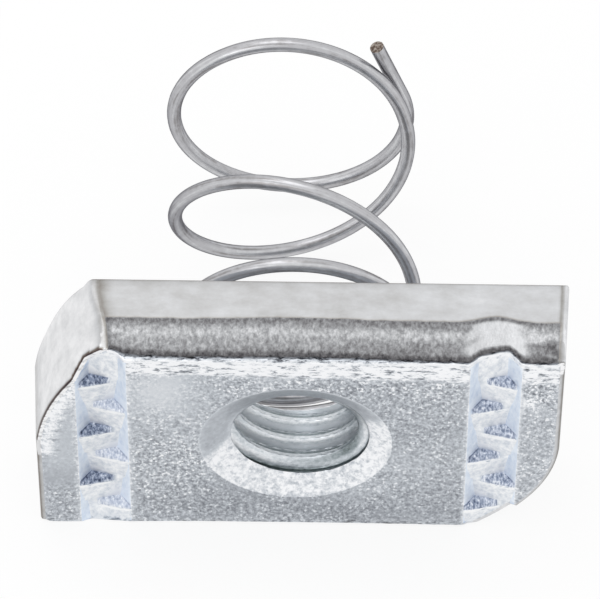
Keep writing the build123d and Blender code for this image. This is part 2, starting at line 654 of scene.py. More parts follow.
@dataclass(frozen=True)
class Groove:
    """One serrated groove, with its teeth on alternate walls.

    The side is 1 on the +X half of the plate and -1 on the other. A tooth's face runs
    over its face run, measured down the groove. The exit share is how much of the depth
    is left at the lower edge. Outer teeth stand on the wall away from the hole.
    """

    side: int
    centre: float
    first: float
    face_run: float
    outer_tone: float
    inner_tone: float
    inner_calm: float = 0.0
    exit_share: float = 1.0
    half_width: float = 1.75
    half_floor: float = 0.9
    depth: float = 1.0
    pitch: float = 2.87
    rise: float = 0.82
    count: int = 6
    lean: float = 0.02
    lip: float = 0.09
    root_softness: float = 0.05
    floor_tone: float = 0.92
    wall_tone: float = 0.96
    light_above_tooth: float = 1.15
    lip_highlight: float = 1.12
    shade_tone: float = 0.80
    broken: Ripple = Ripple(1.0, 4.0, 7.0, 17.0)
    rim_offsets: tuple[float, ...] = (-0.09, -0.03, 0.03, 0.1, 0.3)
    face_shares: tuple[float, ...] = (0, 0.12, 0.3, 0.55, 1)
    tooth_levels: tuple[float, ...] = (-0.05, 0, 0.07, 0.16, 0.3, 0.46, 0.6, 0.7, 0.85, 1.05)

    def entry(self) -> Stretch:
        """The stretch above the first tooth, which starts beyond the upper long edge."""
        return Stretch(20.0, -self.side, self.depth - self.rise / 4 + self.lean * self.first, 0.0)

    def teeth(self) -> list[Stretch]:
        """List the stretches below the teeth.

        Returns:
            One for each tooth, from the top down.
        """
        tops = [self.first - tooth * self.pitch for tooth in range(self.count)]
        return [Stretch(top, -self.side if tooth % 2 else self.side,
                        self.depth - self.rise * 3 / 4 + self.lean * top, self.rise / 2)
                for tooth, top in enumerate(tops)]

    def flat_at(self, stretch: Stretch, u: np.ndarray, z: np.ndarray) -> np.ndarray:
        """Depth of one stretch's plane, u being the distance from the groove's centre."""
        slope = stretch.raised * self.rise / 2 / (2 * self.half_floor)
        return stretch.depth - slope * u + stretch.fall * (stretch.top - z) / self.pitch

    def floor_at(self, u: np.ndarray, z: np.ndarray) -> np.ndarray:
        """Depth of the toothed floor.

        Args:
            u: distance from the groove's centre.
            z: across the plate.

        Returns:
            The depth, which steps from one stretch to the next over the face run.
        """
        made = self.flat_at(self.entry(), u, z)
        for tooth in self.teeth():
            along = np.clip((tooth.top - z) / self.face_run, 0, 1)
            made = blend(made, self.flat_at(tooth, u, z), 1 - (1 - along) ** 2.2)
        return made

    def wall_at(self, u: np.ndarray) -> np.ndarray:
        """Depth of the two sloped walls."""
        return (self.half_width - np.abs(u)) * self.depth / (self.half_width - self.half_floor)

    def depth_at(self, x: np.ndarray, z: np.ndarray) -> np.ndarray:
        """Depth of the whole groove.

        Args:
            x: along the plate.
            z: across the plate.

        Returns:
            The depth, negative outside the groove.
        """
        u = x - self.centre
        softness = self.root_softness + 0.5 * ease(z, 8.4, 1.4)
        kept = blend(1.0, self.exit_share, ease(z, -8.7, -1.2))
        return -smooth_max(-self.floor_at(u, z), -self.wall_at(u), softness) * kept

    def wall_foot(self, u_side: int, z: float) -> float:
        """Find where a wall meets the floor.

        Args:
            u_side: 1 for the wall towards +X, -1 for the other.
            z: the height at which they meet.

        Returns:
            The x of the meeting.
        """
        u = self.half_floor
        for _ in range(12):
            depth = float(self.floor_at(np.array(u_side * u), np.array(z)))
            u = self.half_width - depth * (self.half_width - self.half_floor) / self.depth
        return self.centre + u_side * u

    def guides(self, reach: float) -> list[Line]:
        """Lines that the plate's triangles follow.

        Args:
            reach: how far up and down the lines go.

        Returns:
            Lines along the rims, along the feet of the walls and across the teeth.
        """
        heights = np.linspace(reach, -reach, 120).tolist()
        widths = np.linspace(-self.half_width, self.half_width, 13).tolist()
        bottoms = [self.first] + [tooth.top - self.pitch for tooth in self.teeth()]
        tops = [reach] + [tooth.top for tooth in self.teeth()]
        lines = []
        for u_side in (-1, 1):
            for offset in self.rim_offsets:
                x = self.centre + u_side * (self.half_width - offset)
                lines.append([(x, z) for z in heights])
            foot = []
            for top, bottom in zip(tops, bottoms):
                levels = [top - self.face_run * share for share in self.face_shares]
                levels += np.linspace(levels[-1], bottom, 9)[1:-1].tolist()
                foot += [(self.wall_foot(u_side, z), z) for z in levels]
            lines.append(foot)
        for tooth in self.teeth():
            for below in self.tooth_levels:
                lines.append([(self.centre + u, tooth.top - below) for u in widths])
        return lines

    def bare_height(self, u: np.ndarray, top: float) -> np.ndarray:
        """Height of one tooth across the groove, as far as it stands clear of the wall.

        Args:
            u: distance from the groove's centre.
            top: height of the tooth's edge.

        Returns:
            The tooth's height at each point.
        """
        here = np.full_like(u, top)
        wall = self.wall_at(u)
        low = np.minimum(self.floor_at(u, here), wall)
        return low - np.minimum(self.floor_at(u, here - self.face_run), wall)

    def region_at(self, x: np.ndarray, z: np.ndarray) -> np.ndarray:
        """Region number of each point inside the groove.

        Args:
            x: along the plate.
            z: across the plate.

        Returns:
            The number of the wall, the floor or a tooth.
        """
        u = x - self.centre
        found = np.where(self.wall_at(u) < self.floor_at(u, z) + 0.02,
                         Region.GROOVE_WALL.value, Region.GROOVE_FLOOR.value)
        for tooth in self.teeth():
            on_face = (z < tooth.top) & (z > tooth.top - 0.85 * self.face_run)
            bare = (np.abs(u) < self.half_width) & (self.bare_height(u, tooth.top) > 0.08)
            found = np.where(on_face & bare, Region.TOOTH.value, found)
        return found

    def look_at(self, x: np.ndarray, z: np.ndarray) -> np.ndarray:
        """Look inside the groove: dark broken teeth, partly painted shade, with painted highlights on
        their lips and painted light above them.

        Args:
            x: along the plate.
            z: across the plate.

        Returns:
            One look for each point.
        """
        u = x - self.centre
        on_wall = ease(self.floor_at(u, z) - self.wall_at(u), -0.05, 0.1)
        tone = blend(self.floor_tone, self.wall_tone, on_wall)
        drawn, calm = np.zeros_like(tone), np.zeros_like(tone)
        broken = self.broken.at(x, z)
        for tooth in self.teeth():
            outer = tooth.raised == self.side
            strong = ease(self.bare_height(u, tooth.top), 0, 0.25)
            below = tooth.top - z
            along = below / self.face_run + 0.06 * broken
            on_face = ease(below, -0.04, 0.05) * ease(along, 0.92, -0.14)
            above = ease(below, -0.02, -0.05)
            # painted light above each tooth, against the shade and dark reflection there
            bright = above * ease(below, -1.05, 0.65) * ease(tooth.raised * u, 0, 0.6)
            tone = blend(tone, self.light_above_tooth, bright)
            if outer:
                shaded = above * ease(below, -1.3, 1.0) * ease(tooth.raised * u, 1.05, 0.3)
                tone = blend(tone, self.shade_tone, 0.6 * shaded)
            # tooth face: dark partly as the torn metal's own tone and partly as painted shade
            tone = blend(tone, self.outer_tone if outer else self.inner_tone, on_face * strong)
            calm = np.maximum(calm, (0.0 if outer else self.inner_calm) * on_face)
            # painted highlight along each tooth's lower lip
            lip = ease(along, 0.82, 0.12) * ease(below, self.face_run + 0.34, -0.26) * strong
            tone = blend(tone, self.lip_highlight + 0.06 * broken, lip)
            drawn = np.maximum(drawn, 0.7 * lip)
        tone = blend(tone, 1.0, 0.6 * ease(z, 8.0, 1.2))
        tone = blend(tone, 0.90, 0.8 * ease(z, -8.6, -0.5))
        return look(tone, calm, drawn)


@dataclass(frozen=True)
class Edge:
    """How the plate turns from its front face to its side and on to its back face.

    Each row is a depth, an inset from the plate's outline and a tone. The rolled margin's tones are a
    painted highlight at the front and painted shade towards the crease. The crease and the burnish line
    are the depths between which a sheared side is torn.
    """

    crease: float = 0.60
    burnish_line: float = 3.25
    torn_rows: int = 20
    torn_fall: float = 0.40
    # torn band: its own duller metal, with painted shade along the crease and along the burnish line
    torn_tones: tuple[tuple[float, float], ...] = (
        (0.0, 0.34), (0.05, 0.36), (0.10, 0.46), (0.16, 0.55), (0.3, 0.585), (0.47, 0.60), (0.53, 0.64),
        (0.61, 0.685), (0.69, 0.66), (0.75, 0.62), (0.83, 0.56), (0.91, 0.49), (1.0, 0.45))
    # rolled margin: painted highlight at the front, painted shade towards the crease
    roll_rows: tuple[tuple[float, float, float], ...] = (
        (0.04, 0.80, 0.94), (0.06, 0.68, 0.95), (0.09, 0.57, 0.94), (0.13, 0.48, 0.91),
        (0.175, 0.415, 0.86), (0.225, 0.375, 0.80), (0.28, 0.36, 0.72), (0.335, 0.355, 0.64),
        (0.385, 0.36, 0.56), (0.435, 0.37, 0.49), (0.49, 0.385, 0.43), (0.545, 0.40, 0.38),
        (0.60, 0.42, 0.34))
    end_rows: tuple[tuple[float, float, float], ...] = (
        (0.02, 0.34, 0.93), (0.028, 0.29, 0.93), (0.038, 0.245, 0.88), (0.05, 0.20, 0.80),
        (0.065, 0.16, 0.66), (0.085, 0.125, 0.42), (0.11, 0.09, 0.18), (0.14, 0.06, 0.10),
        (0.18, 0.035, 0.22), (0.23, 0.018, 0.56), (0.30, 0.006, 0.84), (0.40, 0.0, 0.95),
        (0.55, 0.0, 1.0))
    # burnished band: the lower tones next to the burnish line are painted shade
    burnish_rows: tuple[tuple[float, float, float], ...] = (
        (0.08, 0.01, 0.54), (0.17, 0.0, 0.70), (0.27, 0.0, 0.745))
    back_rows: tuple[tuple[float, float, float], ...] = (
        (0.16, 0.02, 0.96), (0.07, 0.07, 0.62), (0.02, 0.15, 0.62), (0.0, 0.26, 0.85))

    def long_side(self) -> np.ndarray:
        """Rows of a sheared long side, over its rolled margin and torn band, front first.

        Returns:
            Rows of a depth, an inset and a tone.
        """
        shares, tones = zip(*self.torn_tones)
        rows = list(self.roll_rows)
        start = self.crease + 0.08
        for i in range(self.torn_rows):
            share = i / (self.torn_rows - 1)
            inset = 0.02 + self.torn_fall * (1 - share) ** 1.1
            tone = float(np.interp(share, shares, tones))
            rows.append((start + (self.burnish_line - start) * share, inset, tone))
        rows += [(self.burnish_line + behind, inset, tone) for behind, inset, tone in self.burnish_rows]
        return np.array(rows)

    def end_side(self) -> np.ndarray:
        """The same rows on an end or a nose, with a bright and then a dark line along its rounded edge.

        Returns:
            Rows of a depth, an inset and a share of the end's own tone.
        """
        far = [(y, 0.0, 1.0) for y, _, _ in self.long_side()[len(self.end_rows):]]
        return np.array(list(self.end_rows) + far)

    def back(self, thickness: float) -> np.ndarray:
        """Rows that both kinds of side share, up to the back face.

        Args:
            thickness: of the plate.

        Returns:
            Rows of a depth, an inset and a share of the side's own tone.
        """
        start = self.burnish_line + self.burnish_rows[-1][0]
        end = thickness - 0.3
        rows = [(start + (end - start) * i / 6, 0.0, 1.0) for i in range(1, 7)]
        rows += [(thickness - before, inset, tone) for before, inset, tone in self.back_rows]
        return np.array(rows)


@dataclass
class Outline:
    """A closed line round the plate, clockwise as seen from the front.

    Points are x and z. Inward is the direction that moves each of them in by one unit
    from both of its sides. Belongs says how far each is on a sheared long side, 0 to 1.
    """

    points: np.ndarray
    inward: np.ndarray
    belongs: np.ndarray

    def matched(self, loop: np.ndarray, front: np.ndarray) -> "Rim":
        """Match each point of the front surface's border to its place on the outline.

        Args:
            loop: the border's own line before other lines cut it, one point for each
                point of the outline.
            front: x, depth and z of each point of the border.

        Returns:
            The rim between the front surface and the sides.
        """
        ahead = np.roll(loop, -1, axis=0) - loop
        offset = front[:, None, ::2] - loop[None, :, :]
        share = np.clip(np.sum(offset * ahead[None], axis=2) / np.sum(ahead ** 2, axis=1), 0, 1)
        away = np.linalg.norm(offset - share[:, :, None] * ahead[None], axis=2)
        nearest = np.argmin(away, axis=1)
        after = (nearest + 1) % len(loop)
        t = share[np.arange(len(nearest)), nearest]
        return Rim(blend(self.points[nearest], self.points[after], t[:, None]),
                   blend(self.inward[nearest], self.inward[after], t[:, None]),
                   blend(self.belongs[nearest], self.belongs[after], t), front)


@dataclass
class Rim(Outline):
    """The line where the front surface meets the sides.

    Front is where the front surface ends at each point, as x, depth and z.
    """

    front: np.ndarray

    @property
    def x(self) -> np.ndarray:
        """Place of each point along the plate, on the outline."""
        return self.points[:, 0]

    @property
    def z(self) -> np.ndarray:
        """Place of each point across the plate, on the outline."""
        return self.points[:, 1]

    @property
    def floor(self) -> np.ndarray:
        """Depth at which the front surface ends."""
        return self.front[:, 1]


@dataclass(frozen=True)
class FaceLook:
    """How the plating of the front face varies from place to place."""

    tone: float = 0.715
    drift: Ripple = Ripple(0.06, 0.13, 0.2, 61.0)
    foot_loss: float = 0.045
    left_gain: float = 0.04
    pale_patch: Spot = Spot(-9.1, 5.9, 2.5, 2.7)
    pale_calm: float = 0.85
    pale_gain: float = 0.10
    calm_ripple: Ripple = Ripple(1.0, 0.3, 0.4, 71.0)
    rough_patch: Spot = Spot(-8.2, -3.0, 2.6, 3.4, 0.8)
    rough_band: float = 0.5
    bright_spot: Spot = Spot(15.7, 5.3, 0.6, 0.7, 0.25)
    left_end: float = 0.78
    right_end: float = 0.76
    nose_highlight: float = 1.04
    margin_highlight: float = 1.03
    margin_start: float = 7.93
    margin_slope: float = -0.02
    margin_ripple: Ripple = Ripple(0.25, 0.5, 0.0, 83.0)
    groove_rim_highlight: float = 0.9

    def at(self, plate: "NutPlate", x: np.ndarray, z: np.ndarray) -> np.ndarray:
        """Look of the front surface: flecked, with a pale patch, and painted highlights on the rolled
        margin, the nose margin and the groove rims.

        Args:
            plate: whose front surface it is.
            x: along the plate.
            z: across the plate.

        Returns:
            One look for each point.
        """
        right_groove, left_groove = plate.grooves
        left_end = ease(x, left_groove.centre - left_groove.half_width, -0.3)
        right_end = ease(x, right_groove.centre + right_groove.half_width, 0.3)
        nose = plate.nose_margin(x, z)
        pale = self.pale_patch.at(x, z)
        tone = self.tone + self.drift.at(x, z) - self.foot_loss * ease(z, -3, -5)
        tone += self.left_gain * ease(x, -5.5, -3) + self.pale_gain * pale
        tone = blend(tone, self.left_end - 0.08 * ease(z, -2, -2.5), 0.9 * left_end)
        tone = blend(tone, self.right_end, 0.7 * right_end) + self.bright_spot.at(x, z)
        # painted highlight on the rolled margin by the left nose
        tone = blend(tone, self.nose_highlight, ease(1.7 * nose, 0.35, 1))
        # painted highlight on the rolled margin along the long edges
        margin = self.margin_start + self.margin_slope * x + self.margin_ripple.at(x, z)
        on_margin = ease(z - margin, -0.25, 0.5)
        tone = blend(tone, self.margin_highlight, on_margin)
        rough = self.rough_patch.at(x, z) + 0.7 * right_end * ease(z, 4.5, 1.5)
        rough += self.rough_band * bell(z, 6.6, 1.1) * ease(x, -5, 2) * ease(x, 12, -2)
        rough = np.maximum(rough, 1.1 * ease(1.8 * nose, 0.2, 1))
        calm = self.pale_calm * pale + 0.3 * ease(self.calm_ripple.at(x, z), 0, 0.4)
        calm = blend(calm, 0.75 * ease(z, -6.5, 2), left_end)
        calm = np.clip(calm, 0, 1) * (1 - on_margin) - rough
        drawn = np.maximum(on_margin, 0.4 * ease(1.4 * nose, 0, 1))
        values = look(tone, calm, drawn)
        radius = np.hypot(x, z)[:, None]
        values = blend(values, plate.sink.look_at(x, z), ease(radius, plate.sink.radius + 0.04, -0.08))
        for groove in plate.grooves:
            off = np.abs(x - groove.centre)[:, None]
            # painted highlight along each groove's rim
            bright = 0.8 * bell(off, groove.half_width + 0.03, 0.08)
            values = blend(values, look(self.groove_rim_highlight, 0.3, 0.3), bright)
            within = ease(off, groove.half_width + 0.02, -0.06)
            values = blend(values, groove.look_at(x, z), within)
        return values


@dataclass(frozen=True)
class SideLook:
    """How the four sides look, from the rolled margin over the torn band to the back.

    In a spot over the torn band, z is the share of the way from its crease to the
    burnish line.
    """

    burnished_tone: float = 0.745
    burnished_calm: float = 0.5
    middle_shade: float = 0.05
    left_glow: float = 0.07
    stray: Ripple = Ripple(0.9, 0.9, 1.3, 91.0)
    patch_tone: float = 0.785
    patch_calm: float = 0.8
    patch_start: float = 11.3
    patch_end: float = 15.0
    right_glow: float = 0.08
    dark_spot: Spot = Spot(16.9, 0.45, 0.5, 0.17, 0.20)
    burnished_gain: float = 0.035
    corner_shade: float = 0.16
    lower_margin: float = 0.76
    end_tone: float = 0.76
    nose_gain: float = 0.14
    right_gain: float = 0.08
    end_calm: float = 0.4
    plain_outline: float = 0.45
    brown: tuple[float, float] = (0.50, 0.2)
    crease_shade: float = 0.21

    def sheared(self, plate: "NutPlate", rows: np.ndarray, x: np.ndarray, z: np.ndarray) -> np.ndarray:
        """Look of the sheared long sides.

        Args:
            plate: whose sides they are.
            rows: depth, inset and tone of each row.
            x: along the plate, in one row.
            z: across the plate, in one row.

        Returns:
            Rows by columns by three values.
        """
        crease, line = plate.edge.crease, plate.edge.burnish_line
        depth, tone = rows[:, 0:1], rows[:, 2:3]
        share = np.clip((depth - crease) / (line - crease), 0, 1)
        in_torn = ease(share, 0.1, 0.1) * ease(share, 0.95, -0.08)
        tone = np.where(depth > line + 0.3, self.burnished_tone * tone, tone)
        tone = tone - self.middle_shade * ease(x, 2, 2) * in_torn * ease(share, 0.5, -0.1)
        tone += self.left_glow * np.exp(-np.clip(x + 12.9, 0, None) / 0.8) * in_torn
        stray = self.stray.at(x, depth)
        pale = ease(x + stray, self.patch_start - 0.65, 1.3)
        pale = pale * ease(x - stray, self.patch_end + 0.55, -1.1) * (z > 0)
        tone = blend(tone, self.patch_tone, pale * in_torn)
        right = ease(x, 14.8, 1.0) * in_torn
        tone += self.right_glow * right * ease(share, 0.4, 0.2)
        tone -= right * self.dark_spot.at(x, share)
        tone += self.burnished_gain * ease(x, 3, 8) * (depth > line + 0.2)
        tone -= self.corner_shade * bell(x, plate.right - plate.corner - 0.08, 0.14) * (depth > 0.6)
        tone = np.where(z < 0, blend(tone, self.lower_margin, 0.9 * (depth < crease)), tone)
        calm = self.patch_calm * pale * in_torn + self.burnished_calm * (depth > line + 0.1)
        return look(tone, calm, ease(depth, crease + 0.05, -0.15))

    def at(self, plate: "NutPlate", rows: np.ndarray, ends: np.ndarray, rim: Rim) -> np.ndarray:
        """Look of all the sides' points.

        Args:
            plate: whose sides they are.
            rows: depth, inset and tone of each row on a long side.
            ends: the same on an end.
            rim: where the sides begin.

        Returns:
            Rows by columns by three values.
        """
        x, z = rim.x[None, :], rim.z[None, :]
        depth = rows[:, 0:1]
        left_nose = (x < 0) * ease(z, 0.6, 2.4)
        own = self.end_tone + self.nose_gain * left_nose + self.right_gain * (x > 0)
        outlined = 1 - (1 - ends[:, 2:3]) * blend(self.plain_outline, 1.0, left_nose)
        belongs = rim.belongs[None, :, None]
        together = blend(look(own * outlined, self.end_calm), self.sheared(plate, rows, x, z), belongs)
        wide = bell(np.hypot(x - plate.crease_x, z - plate.half), 0, 0.5)
        together[:, :, 0] -= self.crease_shade * wide * ease(depth, 0.4, 0.4)
        corner = np.clip(4 * belongs * (1 - belongs), 0, 1)
        return blend(together, look(*self.brown), 0.7 * corner * (depth[:, :, None] > 0.5))


@dataclass
class NutPlate:
    """The plate, with every form that was pressed, sheared, cut or turned in it.

    Clean cut is how far the lower long edge falls in, as a share of the upper one, and
    nose swell how much fuller the left nose is at its back.
    """

    length: float = 35.5
    width: float = 20.0
    thickness: float = 6.5
    shift: float = 0.15
    end_draft: float = 0.35
    corner: float = 0.22
    left_nose: Nose = Nose(17.0, -0.2, 4.9, 0.14)
    right_nose: Nose = Nose(12.2, -0.4, 5.4, 0.16)
    nose_swell: float = 0.5
    nose_margin_width: float = 2.0
    groove_spacing: float = 26.4
    roll_height: float = 0.9
    roll_fall: float = 0.045
    roll_streak: float = 0.03
    nose_fall: float = 0.09
    clean_cut: float = 0.35
    clean_roll: float = 0.3
    sink: Sink = Sink()
    thread: ScrewThread = ScrewThread()
    edge: Edge = Edge()
    face_look: FaceLook = FaceLook()
    side_look: SideLook = SideLook()
    join_radius: float = 5.3
    around: int = 220
    sink_rings: tuple[float, ...] = (6.9, 6.72, 6.6, 6.52, 6.42, 6.1, 5.7)
    fill_spacing: float = 0.34
    keep_off: float = 0.992
    dents: tuple[Ripple, Ripple] = (Ripple(0.012, 0.35, 0.5, 3.1), Ripple(0.006, 1.1, 1.9, 7.7))
    streaks: tuple[Ripple, Ripple] = (Ripple(1.0, 1.5, 4.5, 11.3), Ripple(0.6, 3.2, 9.0, 5.9))
    nose_ripple: Ripple = Ripple(0.3, 2.0, 2.0, 23.0)

    def __post_init__(self) -> None:
        """Set up what follows from the sizes."""
        out = self.groove_spacing / 2
        self.grooves = [Groove(1, self.shift + out, 6.95, 0.6, 0.72, 0.70),
                        Groove(-1, self.shift - out, 6.5, 0.55, 0.56, 0.82, 0.45, exit_share=0.35)]
        self.left = self.shift - self.length / 2
        self.right = self.shift + self.length / 2
        self.half = self.width / 2
        self.crease_x = self.left + self.left_nose.inset
        self.roll_end = self.half - self.edge.roll_rows[0][1]
        self.roll_start = self.roll_end - self.roll_height

    # outline ---------------------------------------------------------------

    def outline(self) -> Outline:
        """Walk round the outline of the front face.

        Returns:
            The outline, from the crease of the left nose.
        """
        left_crease, right_top = (self.crease_x, self.half), (self.right - self.corner, self.half)
        right_side = (self.right, self.half - self.corner)
        right_start = (self.right, self.right_nose.start)
        right_crease = (self.right - self.right_nose.inset, -self.half)
        left_bottom = (self.left + self.corner, -self.half)
        left_side = (self.left, self.corner - self.half)
        left_start = (self.left, self.left_nose.start)
        upper, lower, end, turn = 0.13, 0.2, 0.25, 0.09
        runs = [
            (line_between(left_crease, right_top, upper), True),
            (arc_between(right_top, right_side, self.corner, turn), False),
            (line_between(right_side, right_start, end), False),
            (arc_between(right_start, right_crease, self.right_nose.radius, self.right_nose.step), False),
            (line_between(right_crease, left_bottom, lower), True),
            (arc_between(left_bottom, left_side, self.corner, turn), False),
            (line_between(left_side, left_start, end), False),
            (arc_between(left_start, left_crease, self.left_nose.radius, self.left_nose.step), False),
        ]
        points = np.array([p for run, _ in runs for p in run])
        sheared = np.array([kind for run, kind in runs for _ in run], float)
        ahead = np.roll(points, -1, axis=0) - points
        ahead /= np.linalg.norm(ahead, axis=1, keepdims=True)
        right_hand = np.stack([ahead[:, 1], -ahead[:, 0]], axis=1)
        mitre = right_hand + np.roll(right_hand, 1, axis=0)
        mitre /= np.sum(mitre * right_hand, axis=1, keepdims=True)
        reach = np.zeros(len(points))
        for low, high in ((left_crease, right_top), (left_bottom, right_crease)):
            on_level = np.abs(points[:, 1] - low[1]) < 1e-6
            near = np.minimum(points[:, 0] - low[0], high[0] - points[:, 0])
            reach = np.where(on_level, near, reach)
        return Outline(points, mitre, sheared * ease(reach, 0, 0.45))

    def squeeze(self, x: np.ndarray, z: np.ndarray) -> np.ndarray:
        """How far each long side falls in: less on the lower one, which was cut cleaner."""
        return np.where(z < 0, self.clean_cut * ease(x, -17, 12), 1.0)

    # front face ------------------------------------------------------------

    def nose_margin(self, x: np.ndarray, z: np.ndarray) -> np.ndarray:
        """How near some points are to the left nose's edge.

        Args:
            x: along the plate.
            z: across the plate.

        Returns:
            1 for each point at the edge, 0 for one a margin's width away.
        """
        ax, az = self.left, self.left_nose.start
        dx, dz = self.crease_x - ax, self.half - az
        chord = hypot(dx, dz)
        out = (dx * (z - az) - dz * (x - ax)) / chord
        along = (dx * (x - ax) + dz * (z - az)) / chord ** 2
        bulge = self.left_nose.radius - sqrt(self.left_nose.radius ** 2 - chord ** 2 / 4)
        edge = bulge * (1 - (2 * along - 1) ** 2)
        near_arc = np.clip(1 - (edge - out) / self.nose_margin_width, 0, 1) * (along < 1.1)
        near_end = np.clip(1 - (x - self.left) / self.nose_margin_width, 0, 1) * ease(z, -2.6, 1.4)
        return np.where(along > 0, near_arc, near_end)

    def front_depth(self, x: np.ndarray, z: np.ndarray) -> np.ndarray:
        """Depth of the front surface below the plane of the front face.

        Args:
            x: along the plate.
            z: across the plate.

        Returns:
            The depth of each point.
        """
        coarse, fine = self.dents
        base = coarse.at(x, z) + 0.5 * coarse.height + fine.at(x, z) + 0.6 * fine.height
        base = np.maximum(base, 0)
        roll = np.clip((np.abs(z) - self.roll_start) / self.roll_height, 0, 1)
        roll = roll * np.where(z < 0, self.clean_roll, 1)
        streaks = sum(ripple.at(x, z) for ripple in self.streaks)
        base += self.roll_fall * roll ** 2 + self.roll_streak * roll * (streaks + 0.7)
        nose = self.nose_margin(x, z)
        base += self.nose_fall * nose ** 2 * (1 + self.nose_ripple.at(x, z))
        depth = smooth_max(self.sink.depth_at(np.hypot(x, z)), base, self.sink.lip)
        for groove in self.grooves:
            lip = groove.lip + 0.22 * ease(z, self.half - 2.2, 1.6)
            depth = smooth_max(groove.depth_at(x, z), depth, lip)
        return np.maximum(depth, 0)

    def front_regions(self, x: np.ndarray, z: np.ndarray) -> np.ndarray:
        """Region number of each point of the front surface.

        Args:
            x: along the plate.
            z: across the plate.

        Returns:
            The number of the face, the countersink or a region of a groove.
        """
        found = np.full(len(x), Region.FACE.value)
        found[np.hypot(x, z) < self.sink.radius - 0.02] = Region.SINK.value
        for groove in self.grooves:
            within = np.abs(x - groove.centre) < groove.half_width - 0.03
            found = np.where(within, groove.region_at(x, z), found)
        return found

    def front_fill(self, loop: np.ndarray) -> np.ndarray:
        """Loose points over the front face, kept off the lines that are followed.

        Args:
            loop: the border of the front surface.

        Returns:
            Their x and z.
        """
        step = self.fill_spacing
        xs = np.arange(self.left, self.right, step)
        fine = np.arange(self.roll_start, self.roll_end, 0.07)
        zs = np.concatenate([-fine[::2], np.arange(-self.half + 2, self.half - 1.7, step), fine])
        gx, gz = np.meshgrid(xs, zs)
        mx, mz = np.meshgrid(xs + step / 2, fine)
        x, z = np.append(gx, mx), np.append(gz, mz)
        across, up = (0.4 * step * waver(seed, (x, waves), (z, waves))
                      for seed, waves in ((41.0, 3.1), (57.0, 2.9)))
        x += across
        z += np.where(np.abs(z) < self.roll_start - 0.1, up, 0)
        grid = np.stack([x, z], axis=1)
        keep = inside(grid, loop * self.keep_off) & (np.hypot(x, z) > self.sink_rings[0] + 0.15)
        for groove in self.grooves:
            u = np.abs(x - groove.centre)
            keep &= np.abs(u - groove.half_width) > 0.2
            for tooth in groove.teeth():
                near = (z < tooth.top + 0.12) & (z > tooth.top - 1.2)
                keep &= ~(near & (u < groove.half_width))
        return grid[keep]

    def build_front(self, skin: Skin) -> Rim:
        """Add the front surface, down to the mouth of the thread.

        Args:
            skin: what the surface is added to.

        Returns:
            The rim at which the sides go on.
        """
        outline = self.outline()
        squeezed = self.edge.roll_rows[0][1] * self.squeeze(*outline.points.T)
        inset = blend(self.edge.end_rows[0][1], squeezed, outline.belongs)
        loop = outline.points + outline.inward * inset[:, None]
        hole = np.array(circle(self.join_radius, self.around))
        guides = [line for groove in self.grooves for line in groove.guides(self.half + 1)]
        guides += [circle(radius, 150, closed=True) for radius in self.sink_rings]
        guides = kept_inside(guides, loop * self.keep_off)
        sheet, faces = triangulate([loop, hole], guides, self.front_fill(loop))
        x, z = sheet[:, 0], sheet[:, 1]
        depth = self.front_depth(x, z)
        at_join = np.abs(np.hypot(x, z) - self.join_radius) < 0.01
        depth[at_join] = self.sink.depth_at(self.join_radius)
        middles = sheet[faces].mean(axis=1)
        points = np.stack([x, depth, z], axis=1)
        regions = self.front_regions(middles[:, 0], middles[:, 1])
        skin.add_sheet(points, faces, regions, self.face_look.at(self, x, z))
        outer = max(border(faces), key=lambda run: np.ptp(sheet[run, 0]))
        return outline.matched(loop, points[outer[::-1]])

    # sides -----------------------------------------------------------------

    def burnish_wave(self, x: np.ndarray) -> np.ndarray:
        """How far the burnished band's front line strays from its mean depth.

        Args:
            x: along the plate.

        Returns:
            The extra depth at each point.
        """
        humps = 0.42 * bell(x, 13.2, 1.5) + 0.16 * bell(x, 0, 5.0) - 0.05
        return humps + 0.05 * waver(2.5, (x, 0.9)) + 0.03 * waver(9.5, (x, 3.5))

    def crease_wave(self, rim: Rim) -> np.ndarray:
        """How much deeper than usual the crease behind the rolled margin runs.

        Args:
            rim: where the sides begin.

        Returns:
            The extra depth at each point of the rim.
        """
        x = rim.x
        from_nose = np.clip(x - self.crease_x, 0, None)
        extra = 0.82 * np.exp(-from_nose / 1.2) * (rim.z > 0) + 0.13 * bell(x, 0, 6)
        extra -= 0.14 + 0.12 * ease(x, 4, 8)
        extra += 0.07 * waver(47.0, (x, 1.3)) + 0.04 * waver(53.0, (x, 4.0))
        return np.maximum(extra, np.where(rim.floor > 0.1, rim.floor - 0.3, -0.3))

